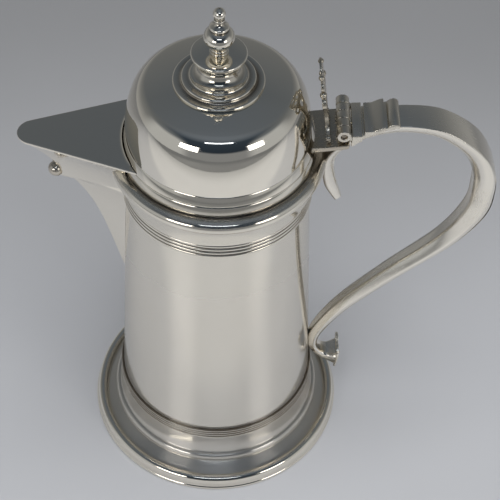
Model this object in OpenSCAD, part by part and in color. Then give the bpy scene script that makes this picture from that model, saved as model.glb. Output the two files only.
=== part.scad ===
// Silver wine flagon: tapering drum on a spread foot, covered beak spout,
// hinged lid with thumbpiece and baluster finial, hollow scroll handle.
// Millimetres. +Z up, spout towards -X, handle towards +X, foot on z = 0.

/* [Foot] */
// How far the foot spreads past the drum
foot_out = 17.05; // [13:0.05:20]
// Height of the foot up to the drum
foot_h = 28.7; // [26:0.1:34]
// Width of the wire round the edge of the foot
foot_wire_w = 6; // [5:0.1:7]
// Height of the wire round the edge of the foot
foot_wire_h = 8.2; // [7:0.1:9.5]
// Thickness of the spun foot
foot_wall = 1.6; // [1.2:0.1:2]
// How far the knop of the foot stands out from the drum
knop_out = 5.2; // [4:0.1:7]
// Height at which the knop starts
knop_z = 9.4; // [8.6:0.1:11]
// Height of the knop
knop_h = 6.2; // [5:0.1:8]

/* [Drum] */
// Outside radius of the drum on the foot
drum_r_foot = 53.35; // [50:0.05:57]
// How much narrower the drum is at the rim
drum_taper = 8.7; // [6:0.1:11]
// Height of the rim
rim_z = 205; // [190:0.5:225]
// Thickness of the drum wall
drum_wall = 1.3; // [1:0.05:1.6]
// Thickness of the disc that closes the drum
base_t = 1.5; // [1:0.1:2.5]

/* [Bands and rim] */
// Number of reeds in each band
reed_count = 4; // [2:1:6]
// Height of the lower band
low_band_h = 7; // [5:0.1:9]
// Height of the upper band
up_band_h = 8.8; // [6:0.1:11]
// How far a reed stands out from its band
reed_proud = 0.8; // [0.4:0.05:1.2]
// Thickness of a band under its reeds
band_t = 0.6; // [0.4:0.05:1]
// How far the bead round the rim stands out from the drum
rim_out = 8.35; // [7:0.05:10]
// Radius of the bead's own section
rim_bead = 3.7; // [3:0.1:4.5]
// Height of the cove under the bead
cove_h = 13.3; // [10:0.1:17]

/* [Spout] */
// Reach of the beak past the drum at the rim
spout_out = 51.35; // [45:0.05:58]
// Height at which the keel leaves the drum
spout_foot_z = 115; // [100:1:125]
// Height of the small shoulder in the keel
spout_shoulder_z = 181; // [174:0.5:184]
// Depth of the throat that the keel makes below the shoulder
spout_throat = 22.5; // [18:0.1:26]
// Step in the keel at the shoulder
spout_step = 6; // [4:0.1:7]
// Thickness of the spout wall
spout_wall = 1.1; // [0.9:0.05:1.4]
// Radius of the nose at the mouth
nose_r = 7.4; // [6:0.1:9]
// Radius of the nose along the keel
keel_r = 1.1; // [0.9:0.1:1.6]
// Half angle of the beak at the mouth
beak_angle = 19.3; // [17:0.1:21]
// Half angle of the keel
keel_angle = 21; // [19:0.5:25]
// Radius of the bead under the beak
spout_bead_r = 3.5; // [2.8:0.1:4]

/* [Lid] */
// Gap between the rim and the closed lid
lid_gap = 0.4; // [0.3:0.05:0.8]
// How far the lower step of the flange stands out past the drum at the rim
flange_out = 2.95; // [2.3:0.05:4.2]
// Width of the ledge between the two steps
flange_ledge = 1.3; // [0.8:0.1:2]
// Height of each step of the flange
flange_h = 5.3; // [4:0.1:6.5]
// How far the upright part of the dome stands in from the upper step
dome_in = 1.7; // [1.2:0.05:2.2]
// Height of the upright part of the dome
dome_wall_h = 3.5; // [2:0.1:6]
// Width of the rounded shoulder
shoulder_w = 11.3; // [8:0.1:14]
// Height of the rounded shoulder
shoulder_h = 26.1; // [22:0.1:32]
// Rise of the crown from the shoulder to the middle
crown_rise = 3; // [2:0.1:4.5]
// Thickness of the lid
lid_wall = 1.2; // [1:0.05:1.5]
// How far the bezel reaches down inside the rim
bezel_h = 5; // [3:0.1:6]
// Gap between the bezel and the inside of the rim
bezel_gap = 0.9; // [0.7:0.05:1.2]
// Thickness of the leaf that covers the spout
cover_t = 1.3; // [1:0.1:1.8]
// How far the cover stands out past the mouth of the spout
cover_lap = 0.8; // [0.4:0.1:1.2]

/* [Finial] */
// Radius of the stepped plinth
plinth_r = 21.6; // [19:0.1:24]
// Height of each step of the plinth
plinth_step = 1.9; // [1.4:0.1:2.6]
// Radius of the disc on the pedestal
disc_r = 13.1; // [11.5:0.1:14.5]
// Height of the pedestal
pedestal_h = 13.4; // [11:0.1:16]
// Radius of the pedestal's waist
waist_r = 8.6; // [7:0.1:10]
// Radius of the large knop of the finial
finial_r = 7.2; // [6:0.1:8.5]
// Radius of the ball on top
ball_r = 3; // [2.4:0.1:3.4]
// Radius of the stud that holds the finial
stud_r = 2; // [1.6:0.1:2.4]

/* [Hinge] */
// Distance of the hinge pin from the flange
hinge_out = 11.7; // [11:0.1:13]
// Height of the hinge pin above the rim
hinge_up = 20; // [19:0.1:22]
// Length of the hinge
hinge_len = 26; // [23:0.5:30]
// Number of knuckles, odd
knuckles = 5; // [3:2:7]
// Outside radius of a knuckle
barrel_r = 3.3; // [2.9:0.05:3.6]
// Radius of the hinge pin
pin_r = 1.6; // [1.2:0.05:2]
// Radial play of the pin in the knuckles
pin_play = 0.04; // [0.02:0.01:0.08]
// Gap between neighbouring knuckles
knuckle_gap = 0.3; // [0.2:0.05:0.5]
// Thickness of the lid's hinge leaf
leaf_t = 2.9; // [2.2:0.1:3.4]
// How far the pin ends lie inside the barrel
pin_recess = 0.6; // [0.3:0.1:1]

/* [Thumbpiece] */
// Height of the thumbpiece above the leaf
thumb_h = 43; // [38:0.5:46]
// Half width of the thumbpiece at its lower scrolls
thumb_w = 11; // [9:0.2:13]
// Thickness of the thumbpiece
thumb_t = 2; // [1.6:0.1:2.6]
// Lean of the thumbpiece towards the finial
thumb_lean = 8.5; // [5:0.5:10]

/* [Handle] */
// Reach of the handle past the drum at the rim
handle_out = 93.35; // [84:0.05:103]
// Height of the top of the handle above the rim
handle_rise = 22.9; // [21:0.1:25]
// Height at which the handle meets the drum
handle_low_z = 51; // [46:0.5:60]
// Width of the handle at its widest
handle_w = 18; // [15:0.2:20]
// Thickness of the handle along its top
handle_t = 8; // [7:0.1:9]
// Share of the width that is left on the inner face
inner_share = 0.55; // [0.45:0.01:0.65]
// Length of the ribbed part of the handle
rib_len = 22.6; // [20:0.1:25]
// Length of the tail under the rim
tail_drop = 34; // [28:0.5:40]
// Height of the lower scroll, from the drum joint down to the terminal
scroll_h = 13.8; // [12:0.1:16]
// Distance of the lower terminal from the drum
terminal_out = 16; // [14:0.2:19]
// Half width of the terminal's shield
shield_w = 8.6; // [7:0.1:9.5]
// Thickness of the terminal's shield
shield_t = 1.6; // [1.2:0.1:2]
// Radius of the bead on the shield
shield_bead_r = 1.5; // [1.2:0.1:2]
// Gap left for solder between seated pieces
seat = 0.05; // [0.02:0.01:0.1]

/* [Hidden] */
$fn = 96;

// Radii that follow the drum
drum_r_rim = drum_r_foot - drum_taper;
foot_r = drum_r_foot + foot_out;
rim_r = drum_r_rim + rim_out;
spout_reach = drum_r_rim + spout_out;
flange_r = drum_r_rim + flange_out;
flange_up_r = flange_r - flange_ledge;
dome_r = flange_up_r - dome_in;
handle_reach = drum_r_rim + handle_out;

// Heights of the bands and of the lid
cove_z = rim_z - 2 * rim_bead - cove_h + 0.25;
up_band_z = cove_z - up_band_h;
flange_z = rim_z + lid_gap;
step_z = flange_z + flange_h;
dome_z = step_z + flange_h;
flange_in_r = dome_r - lid_wall - 0.4;
// Where the shoulder runs into the crown
shoulder_turn = atan(shoulder_h * (dome_r - shoulder_w) / (2 * shoulder_w * crown_rise));
crown_r = dome_r - shoulder_w + shoulder_w * cos(shoulder_turn);
crown_z = dome_z + dome_wall_h + shoulder_h * sin(shoulder_turn);
crown_top = crown_z + crown_rise;
// Height of the crown at a radius
function crown_at(r) = crown_top - crown_rise * pow(r / crown_r, 2);

// Finial heights, each standing on the one below
plinth_low = crown_at(plinth_r) + plinth_step;
plinth_high = plinth_low + plinth_step;
plinth_top = plinth_high + 0.8;
disc_top = plinth_top + pedestal_h;
nut_h = 4;
nut_z = crown_at(2.6 * stud_r) - lid_wall - nut_h;

// Hinge axis
hinge_x = flange_r + hinge_out;
hinge_z = rim_z + hinge_up;

// Outside of the drum at a height
function drum_r(z) = drum_r_foot + (drum_r_rim - drum_r_foot) * (z - foot_h) / (rim_z - foot_h);

// Points of an elliptic arc
function arc(cx, cz, a, b, from, to, steps) =
  [for (i = [0:steps]) let (t = from + (to - from) * i / steps) [cx + a * cos(t), cz + b * sin(t)]];

// Points of a band of half-round reeds that follows the drum
function reeds(z0, h, grow) = concat(
  [[drum_r(z0) + band_t + grow, z0]],
  [for (i = [0:reed_count - 1])
    let (pitch = h / reed_count, zc = z0 + (i + 0.5) * pitch)
    for (t = [-60:30:90])
      [drum_r(zc) + band_t + reed_proud * cos(t) + grow, zc + pitch / 2 * sin(t)]]);

module band(z0, h, grow = 0) {
  rotate_extrude() polygon(concat([[drum_r(z0), z0]], reeds(z0, h, grow), [[drum_r(z0 + h), z0 + h]]));
}

// Outline of the cove and bead under the rim
function rim_points(grow) = let (bc = rim_r - rim_bead, bz = rim_z - rim_bead, start = drum_r(cove_z) + 1.4)
  let (flank = [bc + rim_bead * cos(-70), bz + rim_bead * sin(-70)])
  concat(
    [[drum_r(cove_z), cove_z - grow]],
    [for (t = [0:15:90])
      [start + grow + (flank[0] - start) * (1 - cos(t)), cove_z + (flank[1] - cove_z) * sin(t)]],
    arc(bc, bz, rim_bead + grow, rim_bead + grow, -60, 90, 15),
    [[drum_r_rim, rim_z + grow]]);

module drum_cone(grow, top) {
  rotate_extrude() polygon([[0, foot_h - 1], [drum_r(foot_h) + grow, foot_h - 1],
    [drum_r(foot_h) + grow, foot_h], [drum_r(rim_z) + grow, rim_z], [drum_r(rim_z) + grow, top], [0, top]]);
}

// Closed solid through rings of equal point counts
module loft(rings) {
  n = len(rings[0]);
  m = len(rings);
  polyhedron(
    points = [for (r = rings) each r],
    faces = concat(
      [[for (i = [0:n - 1]) i]],
      [for (j = [0:m - 2]) for (i = [0:n - 1]) let (k = (i + 1) % n)
        each [[j * n + i, (j + 1) * n + i, (j + 1) * n + k], [j * n + i, (j + 1) * n + k, j * n + k]]],
      [[for (i = [n - 1:-1:0]) (m - 1) * n + i]]));
}

// Wire that stiffens the edge of the foot
module foot_rim_wire() {
  lip_h = 2.4;
  edge = 0.6;
  bead_w = 0.47 * foot_wire_w;
  bead_h = 0.4 * foot_wire_h;
  color("silver") rotate_extrude() polygon(concat(
    [[foot_r - foot_wire_w, 0], [foot_r - edge, 0], [foot_r, edge]],
    [[foot_r, lip_h - edge], [foot_r - edge, lip_h]],
    arc(foot_r - foot_wire_w / 6 - bead_w, foot_wire_h - bead_h, bead_w, bead_h, -10, 140, 15)));
}

// Spun foot: cove, knop and cavetto, hollow underneath
module foot() {
  wire_in = foot_r - foot_wire_w - seat;
  cove_low = 0.85 * foot_wire_h;
  bulge = 0.37 * knop_h;
  knop_c = drum_r_foot + knop_out - bulge;
  knop_in = knop_c + 0.4 * bulge;
  knop_top = knop_z + knop_h;
  top_r = drum_r_foot + 0.9 * band_t;
  outer = concat(
    [for (t = [0:10:90])
      [wire_in - (wire_in - knop_in) * sin(t), cove_low + (knop_z - cove_low) * (1 - cos(t))]],
    arc(knop_c, knop_z + knop_h / 2, bulge, knop_h / 2, -66, 90, 13),
    [for (t = [10:10:90])
      [top_r + (knop_c - top_r) * (1 - sin(t)), knop_top + (foot_h - knop_top) * (1 - cos(t))]]);
  inner = [for (p = outer) [p[0] - foot_wall, p[1] - foot_wall * 0.65]];
  color("silver") rotate_extrude() polygon(concat(
    outer,
    [[drum_r_foot - drum_wall, foot_h], [drum_r_foot - drum_wall, foot_h - 1.2]],
    [for (i = [len(inner) - 2:-1:0]) inner[i]],
    [[wire_in, cove_low - 1.7]]));
}

// Disc let into the drum to close it
module base_disc() {
  color("gainsboro") translate([0, 0, foot_h])
    cylinder(r = drum_r(foot_h + base_t) - drum_wall - seat, h = base_t);
}

// Seamed drum, cut open behind the spout
module drum() {
  color("silver") difference() {
    rotate_extrude() polygon([[drum_r_foot - drum_wall, foot_h], [drum_r_foot, foot_h],
      [drum_r_rim, rim_z], [drum_r_rim - drum_wall, rim_z]]);
    spout_body(-spout_wall, spout_foot_z + 6, rim_z + 2);
  }
}

module lower_reeded_band() {
  color("silver") band(foot_h, low_band_h);
}

module upper_reeded_band() {
  color("silver") difference() {
    band(up_band_z, up_band_h);
    spout_body(seat, spout_foot_z, rim_z);
  }
}

module rim_moulding() {
  color("silver") difference() {
    rotate_extrude() polygon(rim_points(0));
    spout_body(seat, spout_foot_z, rim_z + 2);
  }
}

// Mouth of the spout, just under its cover
mouth_z = step_z - lid_gap;
shoulder_x = drum_r(spout_foot_z) + 0.7 + spout_throat;
// Keel line below the shoulder and beak line above it
function keel_x(u) = drum_r(spout_foot_z) + 0.7 + spout_throat * (0.69 * u + 0.31 * pow(u, 5));
function beak_x(v) = shoulder_x + spout_step + (spout_reach - shoulder_x - spout_step) * v * v;
// Levels of the spout: height, reach, nose radius, half angle
function spout_levels() = concat(
  [for (u = [0:0.1:1])
    [spout_foot_z + u * (spout_shoulder_z - spout_foot_z), keel_x(u), keel_r * (0.75 + 0.25 * u),
      keel_angle]],
  [for (v = [0:0.125:1])
    [spout_shoulder_z + 2 + v * (mouth_z - spout_shoulder_z - 2), beak_x(v),
      keel_r + 0.4 + (nose_r - keel_r - 0.4) * v, keel_angle - 5 + (beak_angle - keel_angle + 5) * v]]);

// One level of the beak: a V with a round nose, open towards the drum
function beak_ring(level, grow) =
  let (a = level[3], back = 30, r = max(0.3, level[2] + grow))
  let (xc = level[1] - level[2] - (r - level[2] - grow) / sin(a))
  let (w = r / cos(a) + (xc - back) * tan(a))
  concat(
    [[-back, w, level[0]]],
    [for (i = [0:8]) let (t = (90 - a) * (1 - i / 4)) [-xc - r * cos(t), r * sin(t), level[0]]],
    [[-back, -w, level[0]]]);

function at_height(level, z) = [z, level[1], level[2], level[3]];

// Solid beak between two heights, grown or shrunk all round
module spout_body(grow, z0, z1) {
  levels = spout_levels();
  last = len(levels) - 1;
  inside = [for (l = levels) if (l[0] > z0 && l[0] < z1) l];
  first = [for (l = levels) if (l[0] <= z0) l];
  start = at_height(first[len(first) - 1], z0);
  tail = z1 > levels[last][0] ? [at_height(levels[last], z1)] : [at_height(inside[len(inside) - 1], z1)];
  loft([for (l = concat([start], inside, tail)) beak_ring(l, grow)]);
}

// Beak spout with a sharp keel, open at the top and into the drum
module spout() {
  color("silver") difference() {
    loft([for (l = spout_levels()) beak_ring(l, 0)]);
    spout_body(-spout_wall, spout_foot_z + 6, mouth_z + 2);
    drum_cone(seat, mouth_z + 1);
    translate([0, 0, rim_z - 1]) cylinder(r = flange_r + 1.3, h = mouth_z - rim_z + 3);
  }
}

// Bead soldered under the beak
module spout_bead() {
  bead_z = spout_shoulder_z + 5.8;
  v = (bead_z - spout_shoulder_z - 2) / (mouth_z - spout_shoulder_z - 2);
  color("silver") difference() {
    translate([-beak_x(v) - 0.3, 0, bead_z]) sphere(r = spout_bead_r);
    spout_body(seat, spout_foot_z, mouth_z);
  }
}

// Handle centre line: x, z, share of the width at its widest, share of the thickness along the top
top_c = rim_z + handle_rise - handle_t / 2;
reach_c = handle_reach - handle_t / 2;
low_c = drum_r(handle_low_z) + 0.3 * handle_t;
terminal_x = drum_r(handle_low_z) + terminal_out;
shield_z = handle_low_z - scroll_h;
function hx(f) = rim_r + f * (reach_c - rim_r);
function hz(g) = handle_low_z + g * (top_c - handle_low_z);
handle_rows = [
  [rim_r + 0.218 * tail_drop, rim_z - tail_drop, 0.3, 0.45],
  [rim_r + 0.074 * tail_drop, rim_z - 0.62 * tail_drop, 0.5, 0.74],
  [rim_r + 0.03 * tail_drop, rim_z - 0.2 * tail_drop, 0.68, 0.72],
  [rim_r + 0.108 * tail_drop, rim_z + 0.047 * tail_drop, 0.74, 0.72],
  [hx(0.113), hz(0.934), 0.78, 0.76],
  [hx(0.204), hz(0.966), 0.82, 0.8],
  [hx(0.321), hz(0.99), 0.83, 0.9],
  [hx(0.457), hz(1), 0.85, 0.95],
  [hx(0.66), hz(0.984), 0.92, 1],
  [hx(0.858), hz(0.917), 1, 1.1],
  [hx(0.955), hz(0.835), 1, 1.32],
  [hx(0.98), hz(0.75), 0.97, 1.41],
  [hx(0.955), hz(0.655), 0.9, 1.36],
  [hx(0.8), hz(0.524), 0.82, 1.12],
  [hx(0.475), hz(0.354), 0.72, 1],
  [hx(0.204), hz(0.199), 0.63, 0.88],
  [low_c + 0.19 * scroll_h, handle_low_z + 0.9 * scroll_h, 0.56, 0.76],
  [low_c - 0.015 * scroll_h, handle_low_z, 0.52, 0.68],
  [low_c + 0.16 * scroll_h, handle_low_z - 0.58 * scroll_h, 0.5, 0.66],
  [low_c + 0.54 * scroll_h, handle_low_z - 0.913 * scroll_h, 0.58, 0.88],
  [terminal_x + 0.07 * scroll_h, shield_z, 0.8, 1.5]];

// Smooth curve through the rows
row_last = len(handle_rows) - 1;
function row(i) = handle_rows[max(0, min(row_last, i))];
function spline(p0, p1, p2, p3, t) =
  0.5 * (2 * p1 + (p2 - p0) * t + (2 * p0 - 5 * p1 + 4 * p2 - p3) * t * t
    + (3 * p1 - p0 - 3 * p2 + p3) * t * t * t);
function path_at(s) = let (i = min(floor(s), row_last - 1))
  spline(row(i - 1), row(i), row(i + 1), row(i + 2), s - i);
function path_dir(s) = let (d = path_at(min(s + 0.01, row_last)) - path_at(max(s - 0.01, 0)))
  [d[0], d[1]] / norm([d[0], d[1]]);
row_steps = 4;
path_s = [for (i = [0:row_last * row_steps]) i / row_steps];

// D section: flat outer face, sides drawn in to a narrower inner face
function handle_section(w, t) = let (e = 0.12 * t, q = w * inner_share)
  [[-w / 2 + e, t / 2], [w / 2 - e, t / 2], [w / 2, t / 2 - e], [w / 2 - 0.02 * w, 0.15 * t],
    [w / 2 - 0.07 * w, -0.12 * t], [q / 2 + 0.05 * w, -0.36 * t], [q / 2, -t / 2],
    [-q / 2, -t / 2], [-q / 2 - 0.05 * w, -0.36 * t], [-w / 2 + 0.07 * w, -0.12 * t],
    [-w / 2 + 0.02 * w, 0.15 * t], [-w / 2, t / 2 - e]];
function handle_ring(s) = let (p = path_at(s), d = path_dir(s))
  [for (q = handle_section(p[2] * handle_w, p[3] * handle_t))
    [p[0] - d[1] * q[1], q[0], p[1] + d[0] * q[1]]];

// Hollow handle closed as one solid, seated on the rim bead and on the drum
module handle() {
  color("silver") difference() {
    loft([for (s = path_s) handle_ring(s)]);
    drum_cone(seat, rim_z);
    rotate_extrude() polygon(rim_points(seat));
    translate([terminal_x, -handle_w, shield_z - 2 * scroll_h])
      cube([handle_w, 2 * handle_w, 3 * scroll_h]);
  }
}

// Height of the handle's outer face over a distance x
rib_rows = [3.75, 8];
outer_face = [for (s = path_s) if (s >= rib_rows[0] && s <= rib_rows[1])
  let (p = path_at(s), d = path_dir(s), half = p[3] * handle_t / 2)
    [p[0] - d[1] * half, p[1] + d[0] * half]];
function face_z(x) = lookup(x, outer_face) + seat;

// One moulded rib across the handle: span, half width and its top line
module rib(x0, x1, half, top) {
  between = [for (p = outer_face) if (p[0] > x0 && p[0] < x1) [p[0], p[1] + seat]];
  foot_line = concat([[x0, face_z(x0)]], between, [[x1, face_z(x1)]]);
  rotate([90, 0, 0]) translate([0, 0, -half]) linear_extrude(2 * half) polygon(concat(foot_line, top));
}

// Start of the ribs behind the barrel
rib_x = hinge_x + barrel_r + 0.6;
module handle_ribs() {
  groove = 0.04 * rib_len;
  flat_end = rib_x + 0.22 * rib_len;
  ogee_x = flat_end + groove;
  ogee_w = 0.42 * rib_len;
  bead_w = 0.28 * rib_len;
  bead_x = ogee_x + ogee_w + groove;
  color("darkgray") {
    rib(rib_x, flat_end, 0.45 * hinge_len, [[flat_end, hinge_z - 0.3], [rib_x, hinge_z - 0.7]]);
    rib(ogee_x, ogee_x + ogee_w, 0.39 * hinge_len,
      [for (i = [10:-1:0]) let (u = i / 10)
        [ogee_x + u * ogee_w, hinge_z + groove + ogee_w / 3 * pow(u, 3) * (4 - 3 * u)]]);
    rib(bead_x, bead_x + bead_w, 0.355 * hinge_len,
      [for (p = arc(bead_x + bead_w / 2, groove / 2, bead_w / 2, 0.43 * bead_w, 0, 180, 12))
        [p[0], face_z(p[0]) + p[1]]]);
  }
}

// Knuckle number i of the hinge, as a bored tube
pitch = (hinge_len + knuckle_gap) / knuckles;
module knuckle(i) {
  translate([hinge_x, -hinge_len / 2 + i * pitch, hinge_z]) rotate([-90, 0, 0])
    cylinder(r = barrel_r, h = pitch - knuckle_gap);
}
module pin_bore() {
  translate([hinge_x, -hinge_len, hinge_z]) rotate([-90, 0, 0])
    cylinder(r = pin_r + pin_play, h = 2 * hinge_len);
}

// Fixed knuckles, joined to the first rib
module handle_knuckles() {
  color("gray") difference() {
    for (i = [0:2:knuckles - 1]) {
      knuckle(i);
      translate([hinge_x, -hinge_len / 2 + i * pitch, hinge_z - barrel_r + 0.3])
        cube([rib_x - seat - hinge_x, pitch - knuckle_gap, 2]);
    }
    pin_bore();
  }
}

module hinge_pin() {
  color("dimgray") translate([hinge_x, -hinge_len / 2 + pin_recess, hinge_z])
    rotate([-90, 0, 0]) cylinder(r = pin_r, h = hinge_len - 2 * pin_recess);
}

// Shield that closes the lower end of the handle
module handle_terminal() {
  $fn = 32;
  color("silver") translate([terminal_x + seat, 0, shield_z]) rotate([90, 0, 90]) linear_extrude(shield_t)
    difference() {
      hull() {
        for (side = [-1, 1])
          translate([side * 0.42 * shield_w, 0.75 * shield_w]) circle(r = 0.58 * shield_w);
        translate([0, -1.45 * shield_w]) circle(r = 0.1 * shield_w);
      }
      translate([0, 1.6 * shield_w]) circle(r = 0.34 * shield_w);
    }
}

module terminal_bead() {
  color("silver") translate([terminal_x + 2 * seat + shield_t, 0, shield_z]) difference() {
    sphere(r = shield_bead_r);
    translate([-2 * shield_bead_r, -shield_bead_r, -shield_bead_r]) cube(2 * shield_bead_r);
  }
}

// Stepped flange of the lid
module lid_flange() {
  edge = 0.5;
  color("silver") rotate_extrude() polygon(concat(
    [[flange_in_r, flange_z], [flange_r - edge, flange_z]],
    arc(flange_r - edge, flange_z + edge, edge, edge, -60, 0, 2),
    arc(flange_r - edge, step_z - edge, edge, edge, 0, 90, 3),
    [[flange_up_r, step_z], [flange_up_r - 0.2, dome_z - edge]],
    arc(flange_up_r - 0.2 - edge, dome_z - edge, edge, edge, 30, 90, 2),
    [[flange_in_r, dome_z]]));
}

// Outline of the dome, its wall taken off for the inside
function dome_points(off) = concat(
  [[dome_r - off, dome_z]],
  arc(dome_r - shoulder_w, dome_z + dome_wall_h, shoulder_w - off, shoulder_h - off, 0, shoulder_turn, 18),
  [for (i = [4:-1:0]) let (r = crown_r * i / 5) [r, crown_at(r) - off]]);
module lid_dome() {
  outer = dome_points(0);
  inner = dome_points(lid_wall);
  color("silver") difference() {
    rotate_extrude() polygon(concat(outer, [for (i = [len(inner) - 1:-1:0]) inner[i]]));
    translate([0, 0, crown_z - 5]) cylinder(r = stud_r + pin_play, h = 10);
  }
}

// Bezel that centres the closed lid, drawn in so that it swings clear of the rim
module lid_bezel() {
  top_r = drum_r_rim - drum_wall - bezel_gap;
  low_r = top_r - 0.22 * bezel_h;
  color("gainsboro") rotate_extrude() polygon([[low_r - lid_wall, rim_z - bezel_h], [low_r, rim_z - bezel_h],
    [top_r, rim_z], [top_r, flange_z], [flange_in_r - seat, flange_z], [flange_in_r - seat, flange_z + 3.4],
    [top_r - lid_wall, flange_z + 3.4], [top_r - lid_wall, rim_z]]);
}

// Flat leaf over the spout, soldered on the lower step of the flange
module spout_cover() {
  mouth = spout_levels()[len(spout_levels()) - 1];
  outline = [for (p = beak_ring(mouth, cover_lap)) [p[0], p[1]]];
  color("silver") difference() {
    translate([0, 0, step_z + seat]) linear_extrude(cover_t) polygon(outline);
    translate([0, 0, step_z - 1]) cylinder(r = flange_up_r + seat, h = cover_t + 2);
  }
}

// Two-stepped plinth on the crown
module finial_plinth() {
  ledge_r = plinth_r - 4.1;
  edge = 0.9;
  color("silver") difference() {
    rotate_extrude() polygon(concat(
      [[0, crown_z], [plinth_r, crown_z]],
      arc(plinth_r - edge, plinth_low - edge, edge, edge, 0, 90, 4),
      [[ledge_r + edge, plinth_low - 0.3], [ledge_r, plinth_low]],
      arc(ledge_r - edge, plinth_high - edge, edge, edge, 0, 90, 4),
      [[disc_r + edge, plinth_high - 0.2], [disc_r + 0.3, plinth_top], [0, plinth_top]]));
    translate([0, 0, crown_z - 1]) cylinder(r = stud_r + pin_play, h = plinth_top);
    translate([0, 0, seat]) rotate_extrude() polygon(concat(dome_points(0), [[0, dome_z]]));
  }
}

// Spool under the finial, with a flat disc on top
module finial_pedestal() {
  disc_t = 1.8;
  reel_h = pedestal_h - disc_t;
  color("silver") difference() {
    rotate_extrude() polygon(concat(
      [[0, plinth_top], [disc_r, plinth_top]],
      arc(disc_r, plinth_top + reel_h / 2 + 0.4, disc_r - waist_r, reel_h / 2 - 0.4, 270, 90, 16),
      arc(disc_r - 0.9, disc_top - 0.9, 0.9, 0.9, -30, 90, 6),
      [[0, disc_top]]));
    translate([0, 0, plinth_top - 1]) cylinder(r = stud_r + pin_play, h = pedestal_h + 2);
  }
}

// Turned baluster with its stud
module finial() {
  stud_z = nut_z - 0.6;
  knop_zc = disc_top + 8.8;
  bell_z = knop_zc + 5.9;
  neck_z = bell_z + 4;
  color("silver") rotate_extrude() polygon(concat(
    [[0, stud_z], [stud_r, stud_z], [stud_r, disc_top], [0.62 * finial_r, disc_top]],
    arc(0.44 * finial_r, disc_top + 0.9, 0.17 * finial_r, 0.5, -90, 90, 6),
    arc(0.4 * finial_r, disc_top + 2.3, 0.17 * finial_r, 0.6, -90, 90, 6),
    arc(0.38 * finial_r, disc_top + 3.5, 0.13 * finial_r, 0.5, -90, 90, 6),
    arc(0.36 * finial_r, knop_zc, 0.64 * finial_r, 4.6, -80, 72, 14),
    arc(0.36 * finial_r, bell_z, 0.28 * finial_r, 1.3, -60, 40, 6),
    [for (u = [0.2:0.2:1]) [stud_r + (0.57 * finial_r - stud_r) * pow(1 - u, 2), bell_z + 0.9 + 2.6 * u]],
    arc(stud_r, neck_z, 0.6, 0.5, -60, 90, 4),
    arc(0, neck_z + ball_r + 0.3, ball_r, ball_r, -50, 90, 12)));
}

// Nut that draws the finial down on the crown
module finial_nut() {
  color("gray") difference() {
    translate([0, 0, nut_z]) cylinder(r = 2.6 * stud_r, h = nut_h, $fn = 6);
    translate([0, 0, nut_z - 1]) cylinder(r = stud_r + pin_play, h = nut_h + 2);
  }
}

// Line of the leaf: left end at the flange, right end under the barrel
leaf_x0 = flange_up_r - 3;
leaf_x1 = hinge_x + 3;
leaf_low = hinge_z - barrel_r - 1.9;
leaf_drop = 3.3;
module leaf_body(grow) {
  rotate([90, 0, 0]) translate([0, 0, -hinge_len / 2 - grow]) linear_extrude(hinge_len + 2 * grow) polygon([
    [leaf_x0, leaf_low - leaf_drop - leaf_t], [leaf_x1 - 0.6, leaf_low - leaf_t],
    [leaf_x1, leaf_low - leaf_t + 0.6], [leaf_x1, leaf_low - 0.6], [leaf_x1 - 0.6, leaf_low + grow],
    [leaf_x0, leaf_low - leaf_drop + grow]]);
}

// Hinge leaf soldered to the flange and the dome
module lid_hinge_leaf() {
  color("silver") difference() {
    leaf_body(0);
    translate([0, 0, step_z - 2]) cylinder(r = flange_up_r + seat, h = 14);
  }
}

// Moving knuckles with the webs that carry them on the leaf
module lid_knuckles() {
  color("gray") difference() {
    for (i = [1:2:knuckles - 1]) {
      knuckle(i);
      translate([hinge_x - barrel_r, -hinge_len / 2 + i * pitch, leaf_low - leaf_t / 2])
        cube([1.3 * barrel_r, pitch - knuckle_gap, hinge_z - leaf_low + leaf_t / 2]);
    }
    pin_bore();
    leaf_body(seat);
  }
}

// Half width of the thumbpiece from its base up to the lower scrolls
function thumb_flank(u) = 9 - 5.4 * sin(180 * pow(u, 0.6)) - 1.4 * u;

// Pierced scroll plate for the thumb, standing on the leaf
module thumbpiece() {
  thumb_x = hinge_x - 6.8;
  span = thumb_w / 11;
  low = -3;
  color("silver") difference() {
    translate([thumb_x, 0, leaf_low - 1.3]) rotate([0, -thumb_lean, 0]) rotate([90, 0, 90])
      translate([0, 0, -thumb_t / 2]) linear_extrude(thumb_t) difference() {
        union() {
          translate([-9.6 * span, low]) square([19.2 * span, 2.2 - low]);
          for (side = [-1, 1]) {
            translate([side * 9.2 * span, 2.2]) circle(r = 1.5 * span);
            translate([side * 7.8 * span, 0.56 * thumb_h]) circle(r = 3.2 * span);
            translate([side * 6 * span, 0.76 * thumb_h]) circle(r = 2.7 * span);
          }
          polygon(concat(
            [for (i = [0:10]) [thumb_flank(i / 10) * span, 2 + i / 10 * (0.56 * thumb_h - 2)]],
            [[6.2 * span, 0.66 * thumb_h], [7.4 * span, 0.76 * thumb_h], [6.2 * span, 0.86 * thumb_h]],
            arc(0, 0.86 * thumb_h, 6.2 * span, 0.14 * thumb_h, 15, 165, 12),
            [[-6.2 * span, 0.86 * thumb_h], [-7.4 * span, 0.76 * thumb_h], [-6.2 * span, 0.66 * thumb_h]],
            [for (i = [10:-1:0]) [-thumb_flank(i / 10) * span, 2 + i / 10 * (0.56 * thumb_h - 2)]]));
        }
        for (side = [-1, 1]) translate([side * 7.8 * span, 0.56 * thumb_h]) circle(r = 1.5 * span);
        for (side = [-1, 1]) translate([side * 2.9 * span, 0.71 * thumb_h]) circle(r = 2 * span);
        translate([0, 0.5 * thumb_h]) circle(r = 2.7 * span);
        translate([0, 0.88 * thumb_h]) circle(r = 2.4 * span);
      }
    leaf_body(seat);
  }
}

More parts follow.
